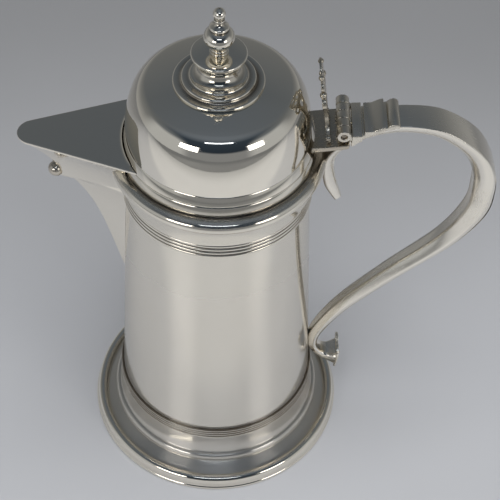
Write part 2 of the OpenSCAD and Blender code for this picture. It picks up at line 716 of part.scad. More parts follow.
foot_rim_wire();
foot();
base_disc();
drum();
lower_reeded_band();
upper_reeded_band();
rim_moulding();
spout();
spout_bead();
handle();
handle_ribs();
handle_knuckles();
hinge_pin();
handle_terminal();
terminal_bead();
lid_flange();
lid_dome();
lid_bezel();
spout_cover();
finial_plinth();
finial_pedestal();
finial();
finial_nut();
lid_hinge_leaf();
lid_knuckles();
thumbpiece();
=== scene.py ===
import bmesh
import bpy
import math
from mathutils import Matrix, Vector


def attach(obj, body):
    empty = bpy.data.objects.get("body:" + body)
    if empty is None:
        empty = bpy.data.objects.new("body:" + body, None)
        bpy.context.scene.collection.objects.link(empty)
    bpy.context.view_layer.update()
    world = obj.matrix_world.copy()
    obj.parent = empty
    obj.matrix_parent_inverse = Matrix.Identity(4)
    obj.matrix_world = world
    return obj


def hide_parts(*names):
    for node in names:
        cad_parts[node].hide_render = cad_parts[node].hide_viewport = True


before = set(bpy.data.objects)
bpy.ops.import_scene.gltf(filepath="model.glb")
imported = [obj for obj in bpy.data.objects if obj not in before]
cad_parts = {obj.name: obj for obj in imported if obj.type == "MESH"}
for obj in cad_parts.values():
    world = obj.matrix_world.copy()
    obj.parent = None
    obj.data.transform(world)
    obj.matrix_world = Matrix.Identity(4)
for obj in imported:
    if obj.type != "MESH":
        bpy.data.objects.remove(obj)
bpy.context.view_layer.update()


# Foot rim wire: the heavy silver wire that the flagon stands on.
# Drawn and turned with a flat under edge and a half-round bead,
# then soldered round the edge of the spun foot.
MM = 0.001
FOOT_R = 70.4
WIRE_W = 6.0
WIRE_H = 8.2
WIRE_EDGE = 2.4
WIRE_BEVEL = 0.6
SHARP_CORNER = 22
SILVER = (0.945, 0.897, 0.8)
# Colour that tarnish and painted shade darken the silver towards, in hollows and shaded places.
TARNISH_AND_SHADE_COLOUR = (0.23, 0.195, 0.155)


def arc(cx, cz, a, b, start, end, steps):
    """Points of an elliptic arc, from one angle to another in degrees."""
    turn = [math.radians(start + (end - start) * i / steps) for i in range(steps + 1)]
    return [(cx + a * math.cos(t), cz + b * math.sin(t)) for t in turn]


def corner_turn(before, at, after):
    """Signed turn of an outline at one of its points, in degrees."""
    ax, ay, bx, by = at[0] - before[0], at[1] - before[1], after[0] - at[0], after[1] - at[1]
    return math.degrees(math.atan2(ax * by - ay * bx, ax * bx + ay * by))


def bend(start, corner, end, t):
    """A point of the round that leads past a corner from one point to another."""
    return tuple((1 - t) ** 2 * a + 2 * t * (1 - t) * b + t * t * c for a, b, c in zip(start, corner, end))


def soften(outline, radius, steps=4):
    """The closed outline with its sharp corners rubbed round, as polishing leaves them."""
    out = []
    for i, p in enumerate(outline):
        a, b = outline[i - 1], outline[(i + 1) % len(outline)]
        if abs(corner_turn(a, p, b)) < SHARP_CORNER or p[0] == 0:
            out.append(p)
            continue
        la, lb = math.dist(a, p), math.dist(b, p)
        d = min(radius, 0.45 * la, 0.45 * lb)
        start = (p[0] + (a[0] - p[0]) * d / la, p[1] + (a[1] - p[1]) * d / la)
        end = (p[0] + (b[0] - p[0]) * d / lb, p[1] + (b[1] - p[1]) * d / lb)
        out += [bend(start, p, end, k / steps) for k in range(steps + 1)]
    return out


def crease_depths(outline, reach=1.6, full_turn=60):
    """How deep each point of an outline lies in a hollow, 0 to 1, where tarnish and painted shade darken it."""
    n = len(outline)
    turns = [corner_turn(outline[i - 1], outline[i], outline[(i + 1) % n]) for i in range(n)]
    out = []
    for p in outline:
        near = [(t, math.dist(p, q)) for t, q in zip(turns, outline)]
        total = -sum(t * (1 - d / reach) for t, d in near if d < reach)
        out.append(max(0.0, min(1.0, total / full_turn)))
    return out


def shade(mesh, angle=38):
    """Smooth faces, with a hard line only at real edges."""
    mesh.polygons.foreach_set("use_smooth", [True] * len(mesh.polygons))
    mesh.set_sharp_from_angle(angle=math.radians(angle))


def put(name, data):
    """A new object in the scene for a mesh, a lamp or the camera."""
    piece = bpy.data.objects.new(name, data)
    bpy.context.scene.collection.objects.link(piece)
    return piece


def turned(name, outline, around=240):
    """Turns an outline of (radius, height) in mm round the axis. One that meets the axis closes there."""
    area = sum(p[0] * q[1] - q[0] * p[1] for p, q in zip(outline, outline[1:] + outline[:1]))
    if area < 0:
        outline = outline[::-1]
    pole = 0 in [p[0] for p in outline]
    if pole:
        first = max(i for i, p in enumerate(outline) if p[0] == 0)
        outline = outline[first:] + outline[:first]
    n = len(outline)
    run = [0.0]
    for p, q in zip(outline, outline[1:] + outline[:1]):
        run.append(run[-1] + math.dist(p, q))
    verts, depth, rows = [], [], []
    for (r, z), tarnish_and_painted_shade in zip(outline, crease_depths(outline)):
        count = around if r else 1
        rows.append([len(verts) + i % count for i in range(around)])
        for t in [2 * math.pi * i / around for i in range(count)]:
            verts.append((r * math.cos(t) * MM, r * math.sin(t) * MM, z * MM))
            depth.append(tarnish_and_painted_shade)
    faces, uvs = [], []
    for k in range(n - 1 if pole else n):
        low, high = rows[k], rows[(k + 1) % n]
        for i in range(around):
            j = (i + 1) % around
            corners = [(low[i], i, k), (low[j], i + 1, k), (high[j], i + 1, k + 1), (high[i], i, k + 1)]
            kept = [c for c, other in zip(corners, corners[1:] + corners[:1]) if c[0] != other[0]]
            if len(kept) > 2:
                faces.append([c[0] for c in kept])
                uvs.extend((c[1] / around, run[c[2]]) for c in kept)
    mesh = bpy.data.meshes.new(name)
    mesh.from_pydata(verts, [], faces)
    layer = mesh.uv_layers.new(name="turning")
    layer.data.foreach_set("uv", [c for uv in uvs for c in uv])
    # Depth in the hollows, kept on the mesh for the tarnish and painted shade of its material.
    mesh.attributes.new("tarnish_and_painted_shade", "FLOAT", "POINT").data.foreach_set("value", depth)
    shade(mesh)
    return put(name, mesh)


def feed(tree, made, inputs):
    """Fills a node's inputs, each with a plain value or with the socket that feeds it."""
    for key, value in inputs.items():
        if isinstance(value, bpy.types.NodeSocket):
            tree.links.new(value, made.inputs[key])
        else:
            made.inputs[key].default_value = value
    return made


def node(tree, kind, inputs, **settings):
    """A new node with its settings and its inputs."""
    made = tree.nodes.new(kind)
    for key, value in settings.items():
        setattr(made, key, value)
    return feed(tree, made, inputs)


def math_node(tree, operation, *values):
    """The result of one sum."""
    return node(tree, "ShaderNodeMath", dict(enumerate(values)), operation=operation).outputs[0]


def ranged(tree, value, low, high, to_low=0.0, to_high=1.0, kind="LINEAR"):
    """A value carried over from one range to another."""
    return node(tree, "ShaderNodeMapRange", {"Value": value, "From Min": low, "From Max": high,
                                             "To Min": to_low, "To Max": to_high},
                interpolation_type=kind).outputs["Result"]


def mixed(tree, factor, a, b, kind="MIX"):
    """Colour a where the factor is 0, colour b where it is 1."""
    return node(tree, "ShaderNodeMix", {"Factor": factor, "A": a, "B": b},
                data_type="RGBA", blend_type=kind).outputs["Result"]


def silver(name, tone, rough, marks, coords="UV", tarnish_and_shade_strength=0.8, nicks=0.0, streak=0.0):
    """Polished silver: fine marks along one way, cloudy wiping, hollows darkened with tarnish and painted
    shade, and where asked for, small nicks and the upright glints that turning marks give."""
    mat = bpy.data.materials.new(name)
    mat.use_nodes = True
    tree = mat.node_tree
    metal = tree.nodes["Principled BSDF"]
    place = node(tree, "ShaderNodeTexCoord", {}).outputs
    stretch = node(tree, "ShaderNodeMapping", {"Vector": place[coords], "Scale": marks})
    lines = node(tree, "ShaderNodeTexNoise", {
        "Vector": stretch.outputs["Vector"], "Scale": 1.0, "Detail": 5.0}).outputs["Fac"]
    wiping = node(tree, "ShaderNodeTexNoise", {
        "Vector": place["Object"], "Scale": 34.0, "Detail": 4.0, "Distortion": 0.6}).outputs["Fac"]
    haze = ranged(tree, wiping, 0.35, 0.7, rough * 0.75, rough * 1.35)
    rubbed = ranged(tree, lines, 0.5, 0.8, 0.0, rough * 0.8)
    sheen = math_node(tree, "ADD", haze, rubbed)
    # Tarnish and painted shade: the mask stored on each mesh darkens the colour and roughens it in hollows and where
    # shade falls.
    hollow = node(tree, "ShaderNodeAttribute", {}, attribute_name="tarnish_and_painted_shade").outputs["Fac"]
    tarnish_and_shade_weight = math_node(tree, "MULTIPLY", hollow, tarnish_and_shade_strength)
    tarnish_and_shade_amount = math_node(tree, "MULTIPLY", tarnish_and_shade_weight, ranged(tree, wiping, 0.3, 0.6, 0.45))
    warm = mixed(tree, wiping, (*tone, 1), (tone[0] * 0.955, tone[1] * 0.945, tone[2] * 0.925, 1))
    relief = node(tree, "ShaderNodeBump", {"Strength": 0.12, "Distance": 0.02 * MM, "Height": lines})
    if nicks:
        spots = node(tree, "ShaderNodeTexVoronoi", {"Vector": place["Object"], "Scale": 150.0})
        pit = ranged(tree, spots.outputs["Distance"], 0.0, 0.12)
        relief = node(tree, "ShaderNodeBump", {"Strength": nicks, "Distance": 0.1 * MM, "Height": pit,
                                               "Normal": relief.outputs["Normal"]})
    feed(tree, metal, {"Metallic": 1.0, "Base Color": mixed(tree, tarnish_and_shade_amount, warm, (*TARNISH_AND_SHADE_COLOUR, 1)),
                       "Roughness": math_node(tree, "MULTIPLY_ADD", tarnish_and_shade_amount, 0.25, sheen),
                       "Normal": relief.outputs["Normal"]})
    if streak:
        lathe = node(tree, "ShaderNodeTangent", {}, direction_type="RADIAL", axis="Z")
        drawn = node(tree, "ShaderNodeBsdfAnisotropic", {
            "Color": (1.0, 0.95, 0.88, 1), "Roughness": 0.45, "Anisotropy": 0.72,
            "Tangent": lathe.outputs["Tangent"]})
        height = node(tree, "ShaderNodeSeparateXYZ", {"Vector": place["Object"]}).outputs["Z"]
        both = node(tree, "ShaderNodeMixShader", {
            "Fac": ranged(tree, height, 50 * MM, 190 * MM, streak, streak * 0.5),
            1: metal.outputs["BSDF"], 2: drawn.outputs["BSDF"]})
        feed(tree, tree.nodes["Material Output"], {"Surface": both.outputs["Shader"]})
    return mat


bead_w, bead_h = 0.47 * WIRE_W, 0.4 * WIRE_H
foot_rim_wire = turned("foot_rim_wire_turned", soften(
    [(FOOT_R - WIRE_W, 0), (FOOT_R - WIRE_BEVEL, 0), (FOOT_R, WIRE_BEVEL),
     (FOOT_R, WIRE_EDGE - WIRE_BEVEL), (FOOT_R - WIRE_BEVEL, WIRE_EDGE)]
    + arc(FOOT_R - WIRE_W / 6 - bead_w, WIRE_H - bead_h, bead_w, bead_h, -10, 140, 28), 0.35))
foot_rim_wire.data.materials.append(silver("silver_foot_wire", SILVER, 0.085, (9, 5, 1), tarnish_and_shade_strength=0.9, nicks=0.25))
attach(foot_rim_wire, "vessel")
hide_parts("foot_rim_wire")


# Foot: a hollow silver foot, spun over a chuck from one disc.
# From the wire it rises through a wide cove and a rounded knop
# to a small cavetto under the drum, which stands on its inner flange.
FOOT_H = 28.7
FOOT_WALL = 1.6
DRUM_R_FOOT = 53.35
DRUM_WALL = 1.3
KNOP_Z = 9.4
KNOP_H = 6.2
KNOP_OUT = 5.2
COVE_HOLLOW = 0.06
SEAM = 0.05

wire_in = FOOT_R - WIRE_W - SEAM
cove_low = 0.68 * WIRE_H
bulge = 0.37 * KNOP_H
knop_c = DRUM_R_FOOT + KNOP_OUT - bulge
knop_in = knop_c + 0.4 * bulge
knop_top = KNOP_Z + KNOP_H
collar_r = DRUM_R_FOOT + 0.54
foot_in = DRUM_R_FOOT - DRUM_WALL
foot_outer = [(wire_in + (knop_in - wire_in) * u,
               cove_low + (KNOP_Z - cove_low) * (u - COVE_HOLLOW * u * (1 - u))) for u in [i / 18 for i in range(19)]]
foot_outer += arc(knop_c, KNOP_Z + KNOP_H / 2, bulge, KNOP_H / 2, -66, 90, 26)
foot_outer += [(collar_r + (knop_c - collar_r) * (1 - math.sin(math.radians(t))),
                knop_top + (FOOT_H - knop_top) * (1 - math.cos(math.radians(t)))) for t in range(6, 91, 6)]
foot_inner = [(r - FOOT_WALL, z - 0.65 * FOOT_WALL) for r, z in foot_outer]
foot = turned("foot_spun", soften(foot_outer + [(foot_in, FOOT_H), (foot_in, FOOT_H - 1.2)]
                                  + foot_inner[-2::-1] + [(wire_in, cove_low - 1.7)], 0.25))
foot.data.materials.append(silver("silver_foot", (0.965, 0.92, 0.835), 0.1, (7, 4, 1),
                                  tarnish_and_shade_strength=0.45, nicks=0.12, streak=0.55))
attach(foot, "vessel")
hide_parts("foot")


# Base disc: the flat silver disc that closes the drum from below.
# It is let into the foot of the drum, soldered round its edge,
# and left with a satin finish and the rings of the lathe.
BASE_T = 1.5
RIM_Z = 205.0
DRUM_R_RIM = 44.65


def drum_r(z):
    """Outside radius of the tapering drum at a height, in mm."""
    return DRUM_R_FOOT + (DRUM_R_RIM - DRUM_R_FOOT) * (z - FOOT_H) / (RIM_Z - FOOT_H)


base_r = drum_r(FOOT_H + BASE_T) - DRUM_WALL - SEAM
base_top = FOOT_H + BASE_T
base_disc = turned("base_disc_turned", soften(
    [(0, FOOT_H + 0.3), (6, FOOT_H + 0.25), (base_r - 7, FOOT_H + 0.2), (base_r - 6, FOOT_H), (base_r, FOOT_H),
     (base_r, base_top), (base_r - 9, base_top - 0.1), (0, base_top - 0.2)], 0.4))
base_disc.data.materials.append(silver("silver_base", (0.835, 0.787, 0.7), 0.28, (4, 7, 1), tarnish_and_shade_strength=0.6))
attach(base_disc, "vessel")
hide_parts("base_disc")


# Drum: the tapering body, raised from sheet silver, seamed and planished.
# It is open at the top and cut through behind the spout,
# where the wine runs into the beak.
DRUM_RINGS = (90, 150)
SPOUT_FOOT_Z = 115.0
SHOULDER_Z = 181.0
SPOUT_STEP_H = 2.0
THROAT = 22.5
SPOUT_STEP = 6.0
SPOUT_WALL = 1.1
SPOUT_FLOOR = 6.0
SPOUT_REACH = 96.0
SPOUT_BACK = 30.0
NOSE_R = 7.4
KEEL_R = 1.1
BEAK_ANGLE = 19.3
KEEL_ANGLE = 21.0
MOUTH_Z = 210.3


def spout_level(z):
    """Reach, nose radius and half angle of the spout at a height."""
    root = drum_r(SPOUT_FOOT_Z) + 0.7
    if z <= SHOULDER_Z:
        u = (z - SPOUT_FOOT_Z) / (SHOULDER_Z - SPOUT_FOOT_Z)
        return root + THROAT * (0.69 * u + 0.31 * u ** 5), KEEL_R * (0.75 + 0.25 * u), KEEL_ANGLE
    low = (root + THROAT, KEEL_R, KEEL_ANGLE)
    beak_z, keel_r, keel_angle = SHOULDER_Z + SPOUT_STEP_H, KEEL_R + 0.4, KEEL_ANGLE - 5
    v = min(1.0, max(0.0, (z - beak_z) / (MOUTH_Z - beak_z)))
    start = root + THROAT + SPOUT_STEP
    high = (start + (SPOUT_REACH - start) * v * v, keel_r + (NOSE_R - keel_r) * v,
            keel_angle + (BEAK_ANGLE - keel_angle) * v)
    f = min(1.0, (z - SHOULDER_Z) / SPOUT_STEP_H)
    return tuple(a + (b - a) * f for a, b in zip(low, high))


def ring_faces(rings, n):
    """Faces of a solid of stacked rings of n points, with its two ends closed."""
    sides = [(j * n + i, j * n + (i + 1) % n, (j + 1) * n + (i + 1) % n, (j + 1) * n + i)
             for j in range(rings - 1) for i in range(n)]
    return sides + [tuple(range(n - 1, -1, -1)), tuple((rings - 1) * n + i for i in range(n))]


def beak(name, grow, z0, z1, steps):
    """Solid beak between two heights: a V with a round nose, grown or shrunk all round."""
    heights = {z0 + (z1 - z0) * i / steps for i in range(steps + 1)}
    heights |= {z for z in [SHOULDER_Z + SPOUT_STEP_H * f for f in (0, 0.35, 0.7, 1)] if z0 < z < z1}
    verts = []
    for z in sorted(heights):
        reach, nose, half = spout_level(z)
        r, a = max(0.3, nose + grow), math.radians(half)
        xc = reach - nose - (r - nose - grow) / math.sin(a)
        side = [SPOUT_BACK + (xc - SPOUT_BACK + r * math.sin(a)) * i / 12 for i in range(12)]
        wing = [(-x, r / math.cos(a) + (xc - x) * math.tan(a)) for x in side]
        tip = [(-xc - r * math.cos(t), r * math.sin(t))
               for t in [(math.pi / 2 - a) * (1 - i / 12) for i in range(25)]]
        ring = wing + tip + [(x, -y) for x, y in reversed(wing)]
        verts += [(x * MM, y * MM, z * MM) for x, y in ring]
    mesh = bpy.data.meshes.new(name)
    mesh.from_pydata(verts, [], ring_faces(len(heights), len(ring)))
    shade(mesh)
    return put(name, mesh)


def carve(piece, *cutters):
    """Cuts each solid out of the piece, keeps the result as a plain mesh and throws the cutters away."""
    for cutter in cutters:
        cut = piece.modifiers.new("cut", "BOOLEAN")
        cut.operation = "DIFFERENCE"
        cut.solver = "EXACT"
        cut.use_self = True
        cut.object = cutter
    bpy.context.view_layer.update()
    whole = piece.data
    piece.data = bpy.data.meshes.new_from_object(piece.evaluated_get(bpy.context.evaluated_depsgraph_get()))
    piece.modifiers.clear()
    for cutter in cutters:
        blank = cutter.data
        bpy.data.objects.remove(cutter)
        bpy.data.meshes.remove(blank)
    bpy.data.meshes.remove(whole)
    shade(piece.data)


drum = turned("drum_raised", soften(
    [(foot_in, FOOT_H), (DRUM_R_FOOT, FOOT_H)] + [(drum_r(z), z) for z in DRUM_RINGS]
    + [(DRUM_R_RIM, RIM_Z), (DRUM_R_RIM - DRUM_WALL, RIM_Z)]
    + [(drum_r(z) - DRUM_WALL, z) for z in DRUM_RINGS[::-1]], 0.25), around=320)
carve(drum, beak("drum_opening", -SPOUT_WALL, SPOUT_FOOT_Z + SPOUT_FLOOR, RIM_Z + 2, 60))
drum.data.materials.append(silver("silver_drum", (0.97, 0.922, 0.83), 0.06, (260, 260, 9), coords="Object",
                                  tarnish_and_shade_strength=0.5, streak=0.36))
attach(drum, "vessel")
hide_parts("drum")


# Reeded bands: two applied bands of half-round wires round the drum.
# Each is drawn as a strip of four reeds, bent round and soldered on;
# the upper one stops against the sides of the spout.
REEDS = 4
LOW_BAND_H = 7.0
UP_BAND_H = 8.8
UP_BAND_Z = 175.75
BAND_T = 0.6
REED_PROUD = 0.8
HOLLOW_EDGE = 2.5


def sized_tree(name, sizes):
    """An empty node tree with named inputs: the tree, the inputs' identifiers and their sockets."""
    tree = bpy.data.node_groups.new(name, "GeometryNodeTree")
    tree.interface.new_socket("Geometry", in_out="OUTPUT", socket_type="NodeSocketGeometry")
    inputs = {label: tree.interface.new_socket(label, in_out="INPUT", socket_type="NodeSocket" + kind).identifier
              for label, kind in sizes.items()}
    return tree, inputs, tree.nodes.new("NodeGroupInput").outputs


def spaced(tree, count, axis, first, step):
    """Points in a row along one axis."""
    start = node(tree, "ShaderNodeCombineXYZ", {axis: first})
    offset = node(tree, "ShaderNodeCombineXYZ", {axis: step})
    row = node(tree, "GeometryNodeMeshLine", {
        "Count": count, "Start Location": start.outputs["Vector"], "Offset": offset.outputs["Vector"]})
    return row.outputs["Mesh"]


def dressed(tree, geometry, finish):
    """Ends a tree: its copies are made real and get their finish."""
    real = node(tree, "GeometryNodeRealizeInstances", {"Geometry": geometry})
    done = node(tree, "GeometryNodeSetMaterial", {"Geometry": real.outputs["Geometry"], "Material": finish})
    node(tree, "NodeGroupOutput", {"Geometry": done.outputs["Geometry"]})


def reed_tree():
    """Rings of half-round wire, one above the other, each a little narrower than the last."""
    tree, inputs, given = sized_tree("reed_rings", {
        "Reeds": "Int", "Lowest reed": "Float", "Pitch": "Float", "Low radius": "Float", "Taper": "Float",
        "Wire radius": "Float", "Finish": "Material"})
    stack = spaced(tree, given["Reeds"], "Z", given["Lowest reed"], given["Pitch"])
    number = node(tree, "GeometryNodeInputIndex", {}).outputs[0]
    narrowing = math_node(tree, "MULTIPLY_ADD", number, given["Taper"], given["Low radius"])
    hoop = node(tree, "GeometryNodeCurvePrimitiveCircle", {"Resolution": 240, "Radius": 1.0})
    hoops = node(tree, "GeometryNodeInstanceOnPoints", {
        "Points": stack, "Instance": hoop.outputs["Curve"], "Scale": narrowing})
    laid = node(tree, "GeometryNodeRealizeInstances", {"Geometry": hoops.outputs["Instances"]})
    section = node(tree, "GeometryNodeCurvePrimitiveCircle", {"Resolution": 20, "Radius": given["Wire radius"]})
    wire = node(tree, "GeometryNodeCurveToMesh", {
        "Curve": laid.outputs["Geometry"], "Profile Curve": section.outputs["Curve"]})
    dressed(tree, wire.outputs["Mesh"], given["Finish"])
    return tree, inputs


def grown(name, mesh, tree, values):
    """The result of a node tree on a mesh, as an object with a plain mesh."""
    maker = put(name + "_maker", mesh)
    mod = maker.modifiers.new(tree.name, "NODES")
    mod.node_group = tree
    for identifier, value in values.items():
        mod[identifier] = value
    bpy.context.view_layer.update()
    made = bpy.data.meshes.new_from_object(maker.evaluated_get(bpy.context.evaluated_depsgraph_get()))
    maker.modifiers.clear()
    bpy.data.objects.remove(maker)
    made.name = name
    bm = bmesh.new()
    bm.from_mesh(made)
    bmesh.ops.remove_doubles(bm, verts=bm.verts, dist=1e-7)
    bmesh.ops.recalc_face_normals(bm, faces=bm.faces)
    bm.to_mesh(made)
    bm.free()
    shade(made)
    return put(name, made)


reeding, reed_input = reed_tree()
silver_reeds = silver("silver_reeds", (0.935, 0.885, 0.79), 0.16, (60, 60, 900), coords="Object", tarnish_and_shade_strength=1.2)


def reed_band(name, z0, height):
    """One band: its reeds touch each other and follow the taper of the drum."""
    pitch = height / REEDS
    radius = 0.51 * pitch
    low = z0 + 0.5 * pitch
    stand = BAND_T + REED_PROUD - radius
    return grown(name, bpy.data.meshes.new(name + "_seed"), reeding, {
        reed_input["Reeds"]: REEDS, reed_input["Lowest reed"]: low * MM, reed_input["Pitch"]: pitch * MM,
        reed_input["Low radius"]: (drum_r(low) + stand) * MM,
        reed_input["Taper"]: (drum_r(low + pitch) - drum_r(low)) * MM,
        reed_input["Wire radius"]: radius * MM, reed_input["Finish"]: silver_reeds})


def hollows(band, z0, height, width):
    """Marks the hollows between the reeds with painted shade, darkest where the reeds meet."""
    pitch = height / REEDS
    depth = []
    for v in band.data.vertices:
        part = (v.co.z / MM - z0) / pitch % 1
        depth.append(max(0.0, min(1.0, HOLLOW_EDGE * (1 - min(part, 1 - part) / width))))
    band.data.attributes.new("tarnish_and_painted_shade", "FLOAT", "POINT").data.foreach_set("value", depth)


lower_reeded_band = reed_band("lower_band_reeds", FOOT_H, LOW_BAND_H)
hollows(lower_reeded_band, FOOT_H, LOW_BAND_H, 0.4)
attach(lower_reeded_band, "vessel")
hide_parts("lower_reeded_band")

upper_reeded_band = reed_band("upper_band_reeds", UP_BAND_Z, UP_BAND_H)
carve(upper_reeded_band, beak("upper_band_gap", SEAM, SPOUT_FOOT_Z, RIM_Z, 40))
hollows(upper_reeded_band, UP_BAND_Z, UP_BAND_H, 0.2)
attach(upper_reeded_band, "vessel")
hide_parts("upper_reeded_band")


# Rim moulding: the cove and heavy bead that stiffen the mouth of the drum.
# Cast as a ring, turned, and soldered on over the top of the drum;
# it is cut away where the spout passes through.
RIM_R = 53.0
RIM_BEAD = 3.7
RIM_LAP = 0.02
COVE_Z = 184.55
SEAT_SHADE_R = 49.7
SEAT_SHADE_H = 1.6
SEAT_SHADE_FADE = 0.9

bead_c, bead_z = RIM_R - RIM_BEAD, RIM_Z - RIM_BEAD
cove_start = drum_r(COVE_Z) + 1.4
flank_r, flank_z = arc(bead_c, bead_z, RIM_BEAD, RIM_BEAD, -70, 0, 1)[0]
rim_outline = [(drum_r(COVE_Z) + RIM_LAP, COVE_Z)]
rim_outline += [(cove_start + (flank_r - cove_start) * (1 - math.cos(math.radians(t))),
                 COVE_Z + (flank_z - COVE_Z) * math.sin(math.radians(t))) for t in range(0, 91, 5)]
rim_outline += arc(bead_c, bead_z, RIM_BEAD, RIM_BEAD, -62, 90, 36) + [(DRUM_R_RIM + RIM_LAP, RIM_Z)]
rim_moulding = turned("rim_moulding_turned", soften(rim_outline, 0.2), around=320)
carve(rim_moulding, beak("rim_gap", SEAM, SPOUT_FOOT_Z, RIM_Z + 2, 60))
# Painted shade on the top of the rim, inside the radius that the flange of the lid covers.
for v, mark in zip(rim_moulding.data.vertices, rim_moulding.data.attributes["tarnish_and_painted_shade"].data):
    if v.co.z / MM > RIM_Z - SEAT_SHADE_H:
        mark.value = max(mark.value, min(1.0, (SEAT_SHADE_R - math.hypot(v.co.x, v.co.y) / MM) / SEAT_SHADE_FADE))
rim_moulding.data.materials.append(silver("silver_rim", SILVER, 0.08, (40, 40, 800), coords="Object",
                                          tarnish_and_shade_strength=1.0, streak=0.3))
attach(rim_moulding, "vessel")
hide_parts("rim_moulding")


# Spout: a beak folded from sheet silver to a sharp keel and soldered to the drum.
# Its upper part steps forward over a small shoulder,
# and its flat top edge lies just under the cover on the lid.
FLANGE_R = 47.6
LID_ROOM = 0.85


def plug(name, r, z0, z1):
    """A plain cylinder on the axis, to cut with."""
    return turned(name, [(0, z0), (r, z0), (r, z1), (0, z1)])


spout = beak("spout_folded", 0, SPOUT_FOOT_Z, MOUTH_Z, 90)
drum_core = turned("drum_core", [(0, FOOT_H), (DRUM_R_FOOT + SEAM, FOOT_H), (DRUM_R_RIM + SEAM, RIM_Z),
                                 (DRUM_R_RIM + SEAM, MOUTH_Z + 1), (0, MOUTH_Z + 1)])
carve(spout, beak("spout_channel", -SPOUT_WALL, SPOUT_FOOT_Z + SPOUT_FLOOR, MOUTH_Z + 2, 90), drum_core,
      plug("lid_room", FLANGE_R + LID_ROOM, RIM_Z - 1, MOUTH_Z + 2))
spout.data.materials.append(silver("silver_spout", (0.96, 0.912, 0.82), 0.09, (240, 240, 30), coords="Object",
                                   tarnish_and_shade_strength=0.4, nicks=0.05))
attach(spout, "vessel")
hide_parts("spout")


# Spout bead: a small cast ball under the nose of the beak.
# It is soldered into the angle above the shoulder of the keel.
SPOUT_BEAD_R = 3.9
SPOUT_BEAD_UP = 5.8
SPOUT_BEAD_OUT = 1.4
SEAT_GAP = 0.03

knob_z = SHOULDER_Z + SPOUT_BEAD_UP
knob_x = spout_level(knob_z)[0] + SPOUT_BEAD_OUT
spout_bead = turned("spout_bead_cast", [(0, knob_z - SPOUT_BEAD_R)]
                    + arc(0, knob_z, SPOUT_BEAD_R, SPOUT_BEAD_R, -84, 84, 28)
                    + [(0, knob_z + SPOUT_BEAD_R)], around=48)
spout_bead.data.transform(Matrix.Translation((-knob_x * MM, 0, 0)))
carve(spout_bead, beak("spout_bead_seat", SEAT_GAP, SPOUT_FOOT_Z, MOUTH_Z, 60))
# Its dark tone is painted shade: the ball sits in the shade under the spout cover.
spout_bead.data.materials.append(silver("silver_spout_bead", (0.66, 0.61, 0.53), 0.2, (300, 300, 300),
                                        coords="Object", nicks=0.2))
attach(spout_bead, "vessel")
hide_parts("spout_bead")


# Handle: a hollow scroll handle, made as two sheet halves soldered together.
# Its outer face is flat with crisp edges at the top and grows round below;
# it is soldered to the rim bead and to the drum above the lower band.
HANDLE_W = 18.0
HANDLE_T = 8.0
INNER_SHARE = 0.55
INNER_EDGE = 18
# Painted shade on the handle: a dark line along its inner edge and a little on its inner face past the bend, and its
# outer face at the root, under the hinge leaf.
INNER_EDGE_SHADE = 0.55
INNER_FACE_SHADE = 0.12
ROW_STEPS = 14
ROOT_SHADE_END = 4.7
BEND_SHADE_START = 8.6
# across, up, share of the width, share of the thickness, roundness of the outer edges
HANDLE_ROWS = [
    (60.41, 171.0, 0.3, 0.45, 0.1), (55.52, 183.92, 0.5, 0.74, 0.1), (54.02, 198.2, 0.68, 0.72, 0.1),
    (56.67, 206.6, 0.74, 0.72, 0.1), (62.15, 212.49, 0.78, 0.76, 0.08), (69.52, 218.02, 0.82, 0.8, 0.07),
    (79.0, 222.17, 0.83, 0.9, 0.06), (90.02, 223.9, 0.85, 0.95, 0.06), (106.46, 221.13, 0.92, 1, 0.06),
    (122.5, 209.55, 1, 1.1, 0.1), (130.36, 195.37, 1, 1.32, 0.2), (132.38, 180.68, 0.97, 1.41, 0.32),
    (130.36, 164.25, 0.9, 1.36, 0.4), (117.8, 141.6, 0.82, 1.12, 0.42), (91.48, 112.2, 0.72, 1, 0.42),
    (69.52, 85.4, 0.63, 0.88, 0.42), (57.27, 63.42, 0.56, 0.76, 0.4), (54.44, 51, 0.52, 0.68, 0.35),
    (56.86, 43, 0.5, 0.66, 0.3), (62.1, 38.4, 0.58, 0.88, 0.25), (68.25, 37.2, 0.8, 1.5, 0.2)]
LAST_ROW = len(HANDLE_ROWS) - 1


def handle_at(s):
    """Smooth curve through the rows: all five values at a place along the handle."""
    i = min(int(s), LAST_ROW - 1)
    t = s - i
    p = [HANDLE_ROWS[max(0, min(LAST_ROW, k))] for k in (i - 1, i, i + 1, i + 2)]
    return [0.5 * (2 * b + (c - a) * t + (2 * a - 5 * b + 4 * c - d) * t * t + (3 * b - a - 3 * c + d) * t ** 3)
            for a, b, c, d in zip(*p)]


def handle_way(s, reach=0.02):
    """Direction of the handle at a place along it."""
    ax, az = handle_at(max(0, s - reach))[:2]
    bx, bz = handle_at(min(LAST_ROW, s + reach))[:2]
    along = math.hypot(bx - ax, bz - az)
    return (bx - ax) / along, (bz - az) / along


def handle_section(w, t, edge):
    """D section: outer face up, sides drawn in to the narrower inner face. Always the same count of points."""
    q = w * INNER_SHARE / 2
    crown = 0.02 * w + 0.18 * edge * t
    top, e = t / 2 - crown * 0.5, edge * t
    half = [(0.0, t / 2)] + [(w / 2 * f, t / 2 - crown * f * f * 0.55) for f in (0.25, 0.5, 0.72)]
    half += [bend((w / 2 - e, top), (w / 2, top), (w / 2, top - e), k / 6) for k in range(7)]
    side = [(w / 2, top - e), (w / 2 - 0.01 * w, -0.05 * t), (w / 2 - 0.16 * w, -0.36 * t), (q, -t / 2 + 0.06 * t)]
    for f in [k / 8 for k in range(1, 9)]:
        half.append(tuple((1 - f) ** 3 * a + 3 * f * (1 - f) ** 2 * b + 3 * f * f * (1 - f) * c + f ** 3 * d
                          for a, b, c, d in zip(*side)))
    half += [(q - 0.04 * w, -t / 2), (q * 0.5, -t / 2 + 0.01 * t), (0.0, -t / 2 + 0.02 * t)]
    return half + [(-x, y) for x, y in half[-2:0:-1]]


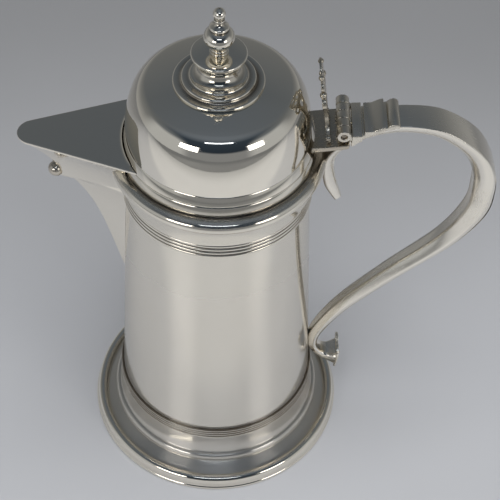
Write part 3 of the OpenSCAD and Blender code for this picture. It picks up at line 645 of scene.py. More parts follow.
verts, handle_shade, lengths, before = [], [], [], None
steps = ROW_STEPS * LAST_ROW
for k in range(steps + 1):
    s = k / ROW_STEPS
    x, z, share_w, share_t, edge = handle_at(s)
    dx, dz = handle_way(s) if k < steps else (1.0, 0.0)
    lengths.append(lengths[-1] + math.dist((x, z), before) if before else 0.0)
    before = (x, z)
    ring = handle_section(share_w * HANDLE_W, share_t * HANDLE_T, edge)
    verts += [((x - dz * v) * MM, u * MM, (z + dx * v) * MM) for u, v in ring]
    n = len(ring)
    # Painted shade, as above: the root's outer face and, past the bend, the inner edge and face.
    root = max(0.0, min(1.0, (ROOT_SHADE_END - s) / 0.6))
    bent = max(0.0, min(1.0, (s - BEND_SHADE_START) / 2))
    for i, (u, v) in enumerate(ring):
        place = min(i, n - i) - INNER_EDGE
        inner = INNER_EDGE_SHADE if place in (0, 1) else INNER_FACE_SHADE if place > 1 else 0.0
        handle_shade.append(max(root if v > 0.3 * share_t * HANDLE_T else 0.0, inner * bent))
mesh = bpy.data.meshes.new("handle_soldered")
mesh.from_pydata(verts, [], ring_faces(steps + 1, n))
mesh.attributes.new("tarnish_and_painted_shade", "FLOAT", "POINT").data.foreach_set("value", handle_shade)
layer = mesh.uv_layers.new(name="along")
for poly in mesh.polygons:
    for loop, v in zip(poly.loop_indices, poly.vertices):
        i = v % n
        if i == 0 and n - 1 in [w % n for w in poly.vertices]:
            i = n
        layer.data[loop].uv = (i / n, lengths[v // n])
bm = bmesh.new()
bm.from_mesh(mesh)
bmesh.ops.recalc_face_normals(bm, faces=bm.faces)
bm.to_mesh(mesh)
bm.free()
shade(mesh, 48)
handle = put("handle_soldered", mesh)
handle.data.materials.append(silver("silver_handle", (0.965, 0.92, 0.835), 0.19, (150, 0.16, 1),
                                    tarnish_and_shade_strength=0.95, nicks=0.015))
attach(handle, "vessel")
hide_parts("handle")


# Handle ribs: three cast mouldings across the top of the handle behind the hinge,
# a flat fillet, an ogee and a half-round, filed up and soldered on.
# They hide the joint where the hinge is let into the handle.
HINGE_X = 59.3
HINGE_Z = 225.0
HINGE_LEN = 26.0
BARREL_R = 3.3
RIB_LEN = 22.6
RIB_X = HINGE_X + BARREL_R + 0.6
BAR_LAP = 0.6
UNDER_RIBS = (3.75, 8.0)


def handle_top(x):
    """Height of the handle's outer face over a distance from the axis."""
    low, high = UNDER_RIBS
    for _ in range(40):
        s = (low + high) / 2
        px, pz, _, share_t, _ = handle_at(s)
        dx, dz = handle_way(s)
        half = share_t * HANDLE_T / 2
        if px - dz * half < x:
            low = s
        else:
            high = s
    return pz + dx * half


def loft(bm, rows, closed=True):
    """Faces between rings of the same count, and over the two end rings where the solid is closed there."""
    for a, b in zip(rows, rows[1:]):
        for i in range(len(a)):
            j = (i + 1) % len(a)
            bm.faces.new((a[i], a[j], b[j], b[i]))
    if closed:
        bm.faces.new(rows[0])
        bm.faces.new(rows[-1][::-1])
    bmesh.ops.recalc_face_normals(bm, faces=bm.faces)
    return bm


def drawn_in(value, middle, inset):
    """A place moved towards the middle, by the inset or by less where it is close."""
    return value - math.copysign(min(inset, 0.4 * abs(value - middle)), value - middle)


def cross_moulding(profile, half, soft):
    """A moulding across the handle: its profile in x and z drawn along y, the ends rubbed round."""
    bm = bmesh.new()
    ends = [(-half, soft), (-half + 0.3 * soft, 0.3 * soft), (-half + soft, 0.0), (half - soft, 0.0),
            (half - 0.3 * soft, 0.3 * soft), (half, soft)]
    cx = sum(p[0] for p in profile) / len(profile)
    cz = sum(p[1] for p in profile) / len(profile)
    return loft(bm, [[bm.verts.new((drawn_in(x, cx, inset) * MM, y * MM, drawn_in(z, cz, inset) * MM))
                      for x, z in profile] for y, inset in ends])


def joined(name, shapes, angle=38):
    """One object from several small meshes."""
    whole = bmesh.new()
    for shape in shapes:
        part = bpy.data.meshes.new("part")
        shape.to_mesh(part)
        shape.free()
        whole.from_mesh(part)
        bpy.data.meshes.remove(part)
    mesh = bpy.data.meshes.new(name)
    whole.to_mesh(mesh)
    whole.free()
    shade(mesh, angle)
    return put(name, mesh)


def rib_profile(x0, x1, top):
    """A rib's section: seated on the handle, with its own top line."""
    seat = [(x, handle_top(x) - 0.1) for x in [x0 + (x1 - x0) * i / 8 for i in range(9)]]
    return soften(seat + top, 0.45)


def bar_profile(x0, x1, z):
    """A low bar that fills the foot of a groove."""
    return rib_profile(x0, x1, [(x1, z), (x0, z)])


groove = 0.04 * RIB_LEN
flat_end = RIB_X + 0.22 * RIB_LEN
ogee_x, ogee_w = flat_end + groove, 0.42 * RIB_LEN
round_x, round_w = ogee_x + ogee_w + groove, 0.28 * RIB_LEN
fillet = rib_profile(RIB_X, flat_end, [(flat_end, HINGE_Z - 0.3), (RIB_X, HINGE_Z - 0.7)])
ogee = rib_profile(ogee_x, ogee_x + ogee_w, [
    (ogee_x + ogee_w * u, HINGE_Z + groove + ogee_w / 3 * u ** 3 * (4 - 3 * u))
    for u in [1 - i / 16 for i in range(17)]])
half_round = rib_profile(round_x, round_x + round_w, [
    (x, handle_top(x) + h)
    for x, h in arc(round_x + round_w / 2, groove / 2, round_w / 2, 0.43 * round_w, 0, 180, 20)])
first_bar = bar_profile(flat_end - BAR_LAP, ogee_x + BAR_LAP, HINGE_Z - 1.3)
second_bar = bar_profile(round_x - groove - BAR_LAP, round_x + 0.8, handle_top(round_x) + 1.7)
# section, half its length as a share of the hinge, roundness of its ends
mouldings = ((first_bar, 0.385, 0.3), (second_bar, 0.35, 0.3), (fillet, 0.45, 0.5), (ogee, 0.39, 0.6),
             (half_round, 0.355, 0.6))
handle_ribs = joined("handle_ribs_cast", [cross_moulding(profile, share * HINGE_LEN, soft)
                                          for profile, share, soft in mouldings])
handle_ribs.data.materials.append(silver("silver_ribs", (0.80, 0.755, 0.67), 0.3, (500, 60, 500),
                                         coords="Object", nicks=0.1))
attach(handle_ribs, "vessel")
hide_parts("handle_ribs")


# Knuckles: short silver tubes that turn on the pin, three on the handle, two on the lid.
# Cut from one drawn tube and filed to run close beside each other;
# the fixed ones are soldered to the first rib.
KNUCKLES = 5
KNUCKLE_GAP = 0.3
PIN_R = 1.6
PIN_PLAY = 0.04
WEB_INSET = 1.1
PITCH = (HINGE_LEN + KNUCKLE_GAP) / KNUCKLES
ON_PIN = Matrix.Translation((HINGE_X * MM, 0, HINGE_Z * MM)) @ Matrix.Rotation(-math.pi / 2, 4, "X")


def knuckle_tree():
    """Copies of one knuckle, spaced along the pin."""
    tree, inputs, given = sized_tree("knuckle_row", {
        "Knuckle": "Geometry", "Count": "Int", "First": "Float", "Spacing": "Float", "Finish": "Material"})
    row = spaced(tree, given["Count"], "Y", given["First"], given["Spacing"])
    copies = node(tree, "GeometryNodeInstanceOnPoints", {"Points": row, "Instance": given["Knuckle"]})
    dressed(tree, copies.outputs["Instances"], given["Finish"])
    return tree, inputs


knuckling, knuckle_input = knuckle_tree()
silver_hinge = silver("silver_hinge", (0.76, 0.715, 0.63), 0.3, (700, 90, 700), coords="Object", nicks=0.15)


def knuckles(name, web, count, first):
    """A row of knuckles: bored tubes with broken edges, each with the web that joins it to its leaf."""
    length = PITCH - KNUCKLE_GAP
    bore = PIN_R + PIN_PLAY
    tube = turned(name + "_blank", soften([(bore, 0), (BARREL_R, 0), (BARREL_R, length), (bore, length)], 0.3),
                  around=48)
    tube.data.transform(ON_PIN)
    mesh = tube.data
    bpy.data.objects.remove(tube)
    x0, x1, z0, z1 = web
    bm = bmesh.new()
    bm.from_mesh(mesh)
    loft(bm, [[bm.verts.new((x * MM, y * MM, z * MM)) for x, z in ((x0, z0), (x1, z0), (x1, z1), (x0, z1))]
              for y in (WEB_INSET, length - WEB_INSET)])
    bm.to_mesh(mesh)
    bm.free()
    return grown(name, mesh, knuckling, {
        knuckle_input["Count"]: count, knuckle_input["First"]: first * MM,
        knuckle_input["Spacing"]: 2 * PITCH * MM, knuckle_input["Finish"]: silver_hinge})


handle_knuckles = knuckles("handle_knuckles_tube", (
    HINGE_X + PIN_R + 0.5, RIB_X - SEAM, HINGE_Z - BARREL_R + 0.3, HINGE_Z - BARREL_R + 2.3),
    KNUCKLES // 2 + 1, -HINGE_LEN / 2)
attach(handle_knuckles, "vessel")
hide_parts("handle_knuckles")


# Hinge pin: a drawn rod through all the knuckles.
# Its ends lie a little inside the barrel and are filed slightly round.
PIN_RECESS = 0.6
PIN_ROUND = 0.5

half = HINGE_LEN / 2 - PIN_RECESS
hinge_pin = turned("hinge_pin_drawn", [(0, -half)] + arc(0, -half + PIN_ROUND, PIN_R, PIN_ROUND, -75, 0, 6)
                   + arc(0, half - PIN_ROUND, PIN_R, PIN_ROUND, 0, 75, 6) + [(0, half)], around=40)
hinge_pin.data.transform(ON_PIN)
hinge_pin.data.materials.append(silver("silver_pin", (0.34, 0.30, 0.25), 0.42, (900, 40, 900), coords="Object",
                                       tarnish_and_shade_strength=0.2, nicks=0.2))
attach(hinge_pin, "vessel")
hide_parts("hinge_pin")


# Handle terminal: the shield that closes the lower end of the handle.
# Cut from plate, dished a little on its face, and soldered on;
# a cast bead sits in the middle.
SHIELD_W = 8.6
SHIELD_T = 1.6
SHIELD_DISH = 0.5
SHIELD_BEAD_R = 1.5
SHIELD_BEAD_SET = 0.45
SHIELD_X = 68.3
SHIELD_Z = 37.2


def shield_edge():
    """Outline of the shield in y and z: two round shoulders with a notch between, and a point below."""
    w = SHIELD_W
    right = [(0.1 * w, -1.5 * w)] + arc(0.42 * w, 0.75 * w, 0.58 * w, 0.58 * w, -16, 100, 16)
    right += arc(0, 1.37 * w, 0.3 * w, 0.3 * w, -20, -90, 5)
    return right + [(-y, z) for y, z in right[-2::-1]]


edge = shield_edge()
bm = bmesh.new()
rows = [[bm.verts.new(((SHIELD_X + x) * MM, y * size * MM, (SHIELD_Z + z * size) * MM)) for y, z in edge]
        for x, size in ((0.0, 0.97), (0.25, 1.0), (SHIELD_T - 0.4, 1.0), (SHIELD_T - 0.1, 0.97), (SHIELD_T, 0.92),
                        (SHIELD_T - 0.35, 0.7), (SHIELD_T - SHIELD_DISH, 0.4))]
loft(bm, rows, closed=False)
for row, x in ((rows[0], SHIELD_X), (rows[-1], SHIELD_X + SHIELD_T - SHIELD_DISH)):
    middle = bm.verts.new((x * MM, 0, SHIELD_Z * MM))
    for i in range(len(edge)):
        bm.faces.new((row[i], row[(i + 1) % len(edge)], middle))
bmesh.ops.recalc_face_normals(bm, faces=bm.faces)
handle_terminal = joined("handle_terminal_plate", [bm], 50)
handle_terminal.data.materials.append(silver("silver_shield", (0.895, 0.847, 0.75), 0.14, (300, 300, 60),
                                             coords="Object", nicks=0.15))
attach(handle_terminal, "vessel")
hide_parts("handle_terminal")

terminal_bead = turned("terminal_bead_cast", [
    (0, -SHIELD_BEAD_SET), (0.9 * SHIELD_BEAD_R, -SHIELD_BEAD_SET), (SHIELD_BEAD_R, -0.1)]
    + arc(0, 0, SHIELD_BEAD_R, SHIELD_BEAD_R, 5, 84, 14) + [(0, SHIELD_BEAD_R)], around=40)
terminal_bead.data.transform(Matrix.Translation(((SHIELD_X + SHIELD_T) * MM, 0, SHIELD_Z * MM))
                             @ Matrix.Rotation(math.pi / 2, 4, "Y"))
terminal_bead.data.materials.append(silver("silver_terminal_bead", (0.915, 0.867, 0.77), 0.1, (300, 300, 300),
                                           coords="Object", tarnish_and_shade_strength=0.4))
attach(terminal_bead, "vessel")
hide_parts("terminal_bead")


# Lid flange: the stepped ring at the foot of the lid.
# Turned from a cast ring, with two shallow steps whose faces lean a little inwards;
# the closed lid rests with it on the rim.
FLANGE_Z = 205.4
STEP_Z = 210.7
DOME_Z = 216.0
FLANGE_UP_R = 46.3
FLANGE_IN_R = 43.0
FLANGE_EDGE = 0.6
FLANGE_SHADE_H = 1.1
FLANGE_SHADE_FADE = 0.6

flange_outline = [(FLANGE_IN_R, FLANGE_Z), (FLANGE_R - FLANGE_EDGE, FLANGE_Z)]
flange_outline += arc(FLANGE_R - FLANGE_EDGE, FLANGE_Z + 0.8, FLANGE_EDGE, 0.8, -90, 0, 8)
flange_outline += [(FLANGE_R - 1.0, STEP_Z - 0.45), (FLANGE_R - 1.25, STEP_Z - 0.1),
                   (FLANGE_UP_R - 0.15, STEP_Z + 0.05), (FLANGE_UP_R, STEP_Z + 0.5),
                   (FLANGE_UP_R - 1.45, DOME_Z - 0.5), (FLANGE_UP_R - 1.8, DOME_Z - 0.05), (FLANGE_IN_R, DOME_Z)]
lid_flange = turned("lid_flange_turned", soften(flange_outline, 0.3), around=320)
# Painted shade on the lowest part of the flange, just above the rim.
for v, mark in zip(lid_flange.data.vertices, lid_flange.data.attributes["tarnish_and_painted_shade"].data):
    mark.value = max(mark.value, min(1.0, (FLANGE_Z + FLANGE_SHADE_H - v.co.z / MM) / FLANGE_SHADE_FADE))
lid_flange.data.materials.append(silver("silver_flange", SILVER, 0.08, (9, 6, 1), tarnish_and_shade_strength=1.0))
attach(lid_flange, "lid")
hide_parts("lid_flange")


# Lid dome: a domed cover with an upright wall, a round shoulder and an almost flat crown.
# Spun from one disc of silver, soldered to the flange,
# and drilled in the middle for the stud of the finial.
DOME_R = 44.6
DOME_WALL_H = 3.5
DOME_RING_H = 1.7
SHOULDER_W = 11.3
SHOULDER_H = 26.1
CROWN_RISE = 3.0
LID_WALL = 1.2
STUD_R = 2.0
STUD_HOLE_R = STUD_R + 0.04

shoulder_turn = math.atan(SHOULDER_H * (DOME_R - SHOULDER_W) / (2 * SHOULDER_W * CROWN_RISE))
crown_r = DOME_R - SHOULDER_W + SHOULDER_W * math.cos(shoulder_turn)
crown_top = DOME_Z + DOME_WALL_H + SHOULDER_H * math.sin(shoulder_turn) + CROWN_RISE


def crown_at(r):
    """Height of the crown at a radius."""
    return crown_top - CROWN_RISE * (r / crown_r) ** 2


def dome_line(off):
    """Outside of the dome, or its inside with the wall taken off."""
    line = [(DOME_R - off, DOME_Z), (DOME_R - off, DOME_Z + DOME_RING_H)]
    line += arc(DOME_R - SHOULDER_W, DOME_Z + DOME_WALL_H, SHOULDER_W - off, SHOULDER_H - off, 0,
                math.degrees(shoulder_turn), 54)
    return line + [(r, crown_at(r) - off) for r in [crown_r + (STUD_HOLE_R - crown_r) * i / 14 for i in range(1, 15)]]


lid_dome = turned("lid_dome_spun", dome_line(0) + dome_line(LID_WALL)[::-1], around=360)
lid_dome.data.materials.append(silver("silver_dome", (0.97, 0.922, 0.83), 0.045, (5, 2.2, 1), tarnish_and_shade_strength=0.5))
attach(lid_dome, "lid")
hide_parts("lid_dome")


# Lid bezel: the plain ring under the lid that drops inside the rim.
# Bent from strip, soldered inside the flange, and drawn in a little
# at its lower edge so that it swings clear.
BEZEL_H = 5.0
BEZEL_GAP = 0.9
BEZEL_SEAT_H = 3.4

bezel_r = DRUM_R_RIM - DRUM_WALL - BEZEL_GAP
bezel_low = bezel_r - 0.22 * BEZEL_H
bezel_top = FLANGE_Z + BEZEL_SEAT_H
lid_bezel = turned("lid_bezel_bent", soften([
    (bezel_low - LID_WALL, RIM_Z - BEZEL_H), (bezel_low, RIM_Z - BEZEL_H), (bezel_r, RIM_Z), (bezel_r, FLANGE_Z),
    (FLANGE_IN_R - SEAM, FLANGE_Z), (FLANGE_IN_R - SEAM, bezel_top), (bezel_r - LID_WALL, bezel_top),
    (bezel_r - LID_WALL, RIM_Z)], 0.3))
lid_bezel.data.materials.append(silver("silver_bezel", (0.855, 0.807, 0.71), 0.22, (5, 6, 1), tarnish_and_shade_strength=0.8))
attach(lid_bezel, "lid")
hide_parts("lid_bezel")


# Spout cover: the flat leaf that covers the beak when the lid is shut.
# Cut from plate with a rounded tip, and soldered on the lower step
# of the lid's flange, with a small fillet of solder along the joint.
COVER_T = 1.3
COVER_LAP = 0.8
COVER_Z = STEP_Z + SEAM
COVER_SEAT_R = FLANGE_UP_R + SEAT_GAP
WING = (30, 40, 50, 60, 70, 80)
SOLDER_SPREAD = 28
SOLDER_STEPS = 32
# section of the solder: out from the flange's upper step, up from the cover
SOLDER = ((SEAT_GAP, 0.9), (0.15, 0.55), (0.4, 0.26), (0.8, 0.08), (1.3, -0.02), (1.3, -0.3), (SEAT_GAP, -0.3))

tip_reach, tip_r, tip_half = spout_level(MOUTH_Z)
tip_r += COVER_LAP
tip_c, tip_a = tip_reach - NOSE_R, math.radians(tip_half)
leaf = [(-x, tip_r / math.cos(tip_a) + (tip_c - x) * math.tan(tip_a)) for x in WING]
leaf += [(-tip_c - tip_r * math.cos(t), tip_r * math.sin(t))
         for t in [(math.pi / 2 - tip_a) * (1 - i / 24) for i in range(49)]]
leaf += [(x, -y) for x, y in leaf[len(WING) - 1::-1]]
bm = bmesh.new()
rows = []
for z, inset in ((0.0, 0.18), (0.18, 0.0), (COVER_T - 0.3, 0.0), (COVER_T - 0.08, 0.12), (COVER_T, 0.34)):
    ring = []
    for i, (x, y) in enumerate(leaf):
        a, b = leaf[i - 1], leaf[(i + 1) % len(leaf)]
        nx, ny = -(b[1] - a[1]), b[0] - a[0]
        d = math.hypot(nx, ny)
        ring.append(bm.verts.new(((x + nx / d * inset) * MM, (y + ny / d * inset) * MM, (COVER_Z + z) * MM)))
    rows.append(ring)
spout_cover = joined("spout_cover_plate", [loft(bm, rows)], 30)
carve(spout_cover, plug("cover_seat", COVER_SEAT_R, STEP_Z - 1, STEP_Z + 3))

bm = bmesh.new()
rows = []
for i in range(SOLDER_STEPS + 1):
    t = math.pi + math.radians(SOLDER_SPREAD * (2 * i / SOLDER_STEPS - 1))
    rise = 0.3 + 0.7 * min(i, SOLDER_STEPS - i, 3) / 3
    rows.append([bm.verts.new(((FLANGE_UP_R + out) * math.cos(t) * MM, (FLANGE_UP_R + out) * math.sin(t) * MM,
                               (COVER_Z + COVER_T + (z * rise if z > 0 else z)) * MM)) for out, z in SOLDER])
loft(bm, rows)
bm.from_mesh(spout_cover.data)
level = [f for f in bm.faces if f.normal.z > 0.9999 and f.calc_area() > 20 * MM * MM]
bmesh.ops.inset_region(bm, faces=level, thickness=0.25 * MM, use_even_offset=True)
bm.to_mesh(spout_cover.data)
bm.free()
shade(spout_cover.data, 30)
spout_cover.data.materials.append(silver("silver_cover", (0.945, 0.897, 0.81), 0.09, (260, 260, 260),
                                         coords="Object", nicks=0.04))
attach(spout_cover, "lid")
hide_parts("spout_cover")


# Finial plinth: the stepped disc on the crown of the lid.
# Turned with two rounded steps and a shallow hollow between,
# hollowed to fit the crown and drilled for the stud.
PLINTH_R = 21.6
PLINTH_STEP = 1.9
PLINTH_LEDGE = 4.1
PLINTH_ROUND = 0.9
DISC_R = 13.1

low_top = crown_at(PLINTH_R) + PLINTH_STEP
high_top = low_top + PLINTH_STEP
plinth_top = high_top + 0.8
ledge_r = PLINTH_R - PLINTH_LEDGE
plinth_outline = [(r, crown_at(r) + SEAM) for r in (STUD_HOLE_R, 8, 15, PLINTH_R)]
plinth_outline += arc(PLINTH_R - PLINTH_ROUND, low_top - PLINTH_ROUND, PLINTH_ROUND, PLINTH_ROUND, 0, 90, 12)
plinth_outline += arc(ledge_r + 1.5, low_top + 0.6, 1.5, 0.9, 270, 180, 10)
plinth_outline += arc(ledge_r - PLINTH_ROUND, high_top - PLINTH_ROUND, PLINTH_ROUND, PLINTH_ROUND, 0, 90, 12)
plinth_outline += arc(DISC_R + 1.6, plinth_top, 1.3, 0.9, 270, 180, 8) + [(STUD_HOLE_R, plinth_top)]
finial_plinth = turned("finial_plinth_turned", plinth_outline)
finial_plinth.data.materials.append(silver("silver_plinth", SILVER, 0.07, (7, 5, 1), tarnish_and_shade_strength=1.0))
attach(finial_plinth, "lid")
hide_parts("finial_plinth")


# Finial pedestal: a waisted spool with a flat disc on top.
# Turned from bar and held between finial and plinth by the stud.
PEDESTAL_H = 13.4
WAIST_R = 8.6
DISC_T = 1.8
DISC_ROUND = DISC_T / 2

disc_top = plinth_top + PEDESTAL_H
reel_h = PEDESTAL_H - DISC_T
pedestal_outline = [(STUD_HOLE_R, plinth_top), (DISC_R, plinth_top)]
pedestal_outline += arc(DISC_R, plinth_top + reel_h / 2 + 0.4, DISC_R - WAIST_R, reel_h / 2 - 0.4, 270, 90, 40)
pedestal_outline += arc(DISC_R - DISC_ROUND, disc_top - DISC_ROUND, DISC_ROUND, DISC_ROUND, -60, 80, 14)
pedestal_outline += [(STUD_HOLE_R, disc_top)]
finial_pedestal = turned("finial_pedestal_turned", soften(pedestal_outline, 0.15))
finial_pedestal.data.materials.append(silver("silver_pedestal", SILVER, 0.06, (7, 5, 1), tarnish_and_shade_strength=0.9))
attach(finial_pedestal, "lid")
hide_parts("finial_pedestal")


# Finial: a turned baluster of rings, a full knop, a bell and a ball.
# Turned from the solid with its stud,
# which goes down through the pedestal and the crown.
FINIAL_R = 7.2
BALL_R = 3.0
NUT_H = 4.0

nut_r = 2.6 * STUD_R
nut_z = crown_at(nut_r) - LID_WALL - NUT_H
stud_z = nut_z - 0.6
knop_zc = disc_top + 8.8
bell_z = knop_zc + 5.9
neck_z = bell_z + 4
ball_z = neck_z + BALL_R + 0.3
finial_outline = [(0, stud_z), (STUD_R - 0.4, stud_z), (STUD_R, stud_z + 0.4), (STUD_R, disc_top),
                  (0.62 * FINIAL_R, disc_top)]
# share of the radius, height, share that stands out, half height, first and last angle, steps
for share, z, out, tall, start, end, steps in (
        (0.44, disc_top + 0.9, 0.17, 0.5, -90, 90, 14), (0.40, disc_top + 2.3, 0.17, 0.6, -90, 90, 14),
        (0.38, disc_top + 3.5, 0.13, 0.5, -90, 90, 14), (0.36, knop_zc, 0.64, 4.6, -80, 72, 36),
        (0.36, bell_z, 0.28, 1.3, -60, 40, 14)):
    finial_outline += arc(share * FINIAL_R, z, out * FINIAL_R, tall, start, end, steps)
finial_outline += [(STUD_R + (0.57 * FINIAL_R - STUD_R) * (1 - u) ** 2, bell_z + 0.9 + 2.6 * u)
                   for u in [i / 12 for i in range(1, 13)]]
finial_outline += arc(STUD_R, neck_z, 0.6, 0.5, -60, 90, 10)
finial_outline += arc(0, ball_z, BALL_R, BALL_R, -50, 84, 26) + [(0, ball_z + BALL_R)]
finial = turned("finial_turned", finial_outline, around=128)
finial.data.materials.append(silver("silver_finial", SILVER, 0.06, (5, 6, 1), tarnish_and_shade_strength=1.0))
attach(finial, "lid")
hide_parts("finial")


# Finial nut: the hexagon nut inside the crown that draws the finial down.
# Milled from bar, its corners chamfered, with a satin face.
NUT_BEVEL = 0.45
NUT_POINTS = 48

bm = bmesh.new()
rows = []
for r, z, six in ((STUD_HOLE_R, 0, 0), (0.82 * nut_r, 0, 0), (0.97 * nut_r, NUT_BEVEL, 1),
                  (0.97 * nut_r, NUT_H - NUT_BEVEL, 1), (0.82 * nut_r, NUT_H, 0), (STUD_HOLE_R, NUT_H, 0)):
    ring = []
    for t in [2 * math.pi * i / NUT_POINTS for i in range(NUT_POINTS)]:
        flat = math.cos(math.pi / 6) / math.cos((t % (math.pi / 3)) - math.pi / 6) if six else 1.0
        ring.append(bm.verts.new((r * flat * math.cos(t) * MM, r * flat * math.sin(t) * MM, (nut_z + z) * MM)))
    rows.append(ring)
finial_nut = joined("finial_nut_milled", [loft(bm, rows + rows[:1], closed=False)], 25)
finial_nut.data.materials.append(silver("silver_nut", (0.775, 0.727, 0.63), 0.3, (400, 400, 60),
                                        coords="Object", nicks=0.2))
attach(finial_nut, "lid")
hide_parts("finial_nut")


# Lid hinge leaf: the thick sloping plate between the lid and the hinge.
# Cast, filed to the curve of the flange and soldered to it and to the dome;
# its long edges are rubbed round by use.
LEAF_T = 2.9
LEAF_DROP = 3.3
LEAF_LOW = HINGE_Z - BARREL_R - 1.9
LEAF_BEVEL = 0.6

leaf_x0, leaf_x1 = FLANGE_UP_R - 3, HINGE_X + 3
leaf_profile = soften([
    (leaf_x0, LEAF_LOW - LEAF_DROP - LEAF_T), (leaf_x1 - LEAF_BEVEL, LEAF_LOW - LEAF_T),
    (leaf_x1, LEAF_LOW - LEAF_T + LEAF_BEVEL), (leaf_x1, LEAF_LOW - LEAF_BEVEL), (leaf_x1 - LEAF_BEVEL, LEAF_LOW),
    (leaf_x0, LEAF_LOW - LEAF_DROP)], 0.5)
lid_hinge_leaf = joined("lid_hinge_leaf_cast", [cross_moulding(leaf_profile, HINGE_LEN / 2, 0.7)])
carve(lid_hinge_leaf, plug("leaf_seat", COVER_SEAT_R, STEP_Z - 2, STEP_Z + 12))
lid_hinge_leaf.data.materials.append(silver("silver_leaf", (0.58, 0.525, 0.44), 0.32, (200, 500, 500),
                                            coords="Object", nicks=0.2))
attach(lid_hinge_leaf, "lid")
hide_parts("lid_hinge_leaf")


# Lid knuckles: the two moving knuckles, with the webs that carry them on the leaf.
# Cut from the same tube as the fixed ones and soldered to the leaf.
lid_knuckles = knuckles("lid_knuckles_tube", (HINGE_X - BARREL_R, HINGE_X - PIN_R - 0.5, LEAF_LOW - 0.8, HINGE_Z),
                        KNUCKLES // 2, -HINGE_LEN / 2 + PITCH)
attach(lid_knuckles, "lid")
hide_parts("lid_knuckles")


# Thumbpiece: an upright pierced plate of scrolls that the thumb presses to open the lid.
# Cast and pierced, its edges filed round,
# and soldered on the leaf just in front of the hinge.
EDGE_ROUND = 0.6
LEAN = math.radians(8.5)
THUMB_X = HINGE_X - 6.8
THUMB_Z = LEAF_LOW - 1.3
THIN_FROM = 26
THIN_OVER = 12
# out from the middle, up the plate, radius
THUMB_BEADS = ((7.4, 28.4, 1.7), (5.8, 37.6, 1.4))

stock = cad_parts["thumbpiece"].data.copy()
bm = bmesh.new()
bm.from_mesh(stock)
bmesh.ops.remove_doubles(bm, verts=bm.verts, dist=2e-6)
bmesh.ops.dissolve_limit(bm, angle_limit=math.radians(1.5), verts=bm.verts, edges=bm.edges)
edges = [e for e in bm.edges if len(e.link_faces) == 2 and e.calc_face_angle() > math.radians(50)]
bmesh.ops.bevel(bm, geom=edges, offset=EDGE_ROUND * MM, segments=4, profile=0.5, affect="EDGES", clamp_overlap=True)
bmesh.ops.triangulate(bm, faces=bm.faces)
for v in bm.verts:
    dx, dz = v.co.x / MM - THUMB_X, v.co.z / MM - THUMB_Z
    thick, rise = dx * math.cos(LEAN) + dz * math.sin(LEAN), dz * math.cos(LEAN) - dx * math.sin(LEAN)
    thick *= 1 - 0.5 * max(0.0, min(1.0, (rise - THIN_FROM) / THIN_OVER))
    v.co.x = (THUMB_X - rise * math.sin(LEAN) + thick * math.cos(LEAN)) * MM
    v.co.z = (THUMB_Z + rise * math.cos(LEAN) + thick * math.sin(LEAN)) * MM
beads = bmesh.new()
for out, rise, size in THUMB_BEADS:
    for side in (-1, 1):
        at = Vector((THUMB_X - rise * math.sin(LEAN), side * out, THUMB_Z + rise * math.cos(LEAN))) * MM
        bmesh.ops.create_uvsphere(beads, u_segments=20, v_segments=12, radius=size * MM,
                                  matrix=Matrix.Translation(at))
thumbpiece = joined("thumbpiece_pierced", [bm, beads], 40)
bpy.data.meshes.remove(stock)
thumbpiece.data.materials.clear()
# Its dark tone is a painted reflection: it stands for the dark look the plate has from the front, where it faces the
# dome.
thumbpiece.data.materials.append(silver("silver_thumbpiece", (0.64, 0.585, 0.49), 0.25, (400, 400, 400),
                                        coords="Object", nicks=0.25))
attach(thumbpiece, "lid")
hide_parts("thumbpiece")


# Floor: a wide sheet of pale paper, its colour painted with a pool of light that falls into shade towards the back
# and the front.
# Far from the flagon it glows very faintly, a painted glow like the light paper catches near the walls of a room.
FLOOR_SIZE = 6.0
PAPER_FRONT = -0.8
PAPER_BACK = 0.4
GLOW_FROM = 0.8
GLOW_FULL = 2.4


def ramp(tree, value, stops, kind="LINEAR"):
    """Colours that follow a value from stop to stop."""
    made = node(tree, "ShaderNodeValToRGB", {"Fac": value})
    made.color_ramp.interpolation = kind
    marks = made.color_ramp.elements
    for i, (at, colour) in ((0, stops[0]), (1, stops[-1])):
        marks[i].position, marks[i].color = at, (*colour, 1)
    for at, colour in stops[1:-1]:
        marks.new(at).color = (*colour, 1)
    return made.outputs["Color"]


bm = bmesh.new()
bmesh.ops.create_grid(bm, x_segments=24, y_segments=24, size=FLOOR_SIZE / 2)
mesh = bpy.data.meshes.new("floor")
bm.to_mesh(mesh)
bm.free()
floor = put("floor", mesh)
paper = bpy.data.materials.new("pale_paper")
paper.use_nodes = True
tree = paper.node_tree
spot = node(tree, "ShaderNodeTexCoord", {}).outputs["Object"]
apart = node(tree, "ShaderNodeSeparateXYZ", {"Vector": spot})
# Painted light and shade along the paper: grey at the front with a painted shadow line at its front edge, lightest in
# a pool in front of the flagon, a step darker from just in front of it back, and falling into shade towards the back.
tone = ramp(tree, ranged(tree, apart.outputs["Y"], PAPER_FRONT, PAPER_BACK), (
    (0.105, (0.21, 0.215, 0.22)), (0.118, (0.12, 0.122, 0.125)), (0.132, (0.36, 0.365, 0.37)),
    (0.19, (0.45, 0.455, 0.46)), (0.42, (0.62, 0.625, 0.635)), (0.55, (0.65, 0.655, 0.665)),
    (0.60, (0.525, 0.533, 0.555)), (0.66, (0.52, 0.528, 0.55)), (0.97, (0.315, 0.317, 0.325))), "EASE")
fibre = node(tree, "ShaderNodeTexNoise", {"Vector": spot, "Scale": 9.0, "Detail": 3.0})
cloudy = ranged(tree, fibre.outputs["Fac"], 0.0, 1.0, 0.97, 1.03)
reach = node(tree, "ShaderNodeVectorMath", {0: spot}, operation="LENGTH").outputs["Value"]
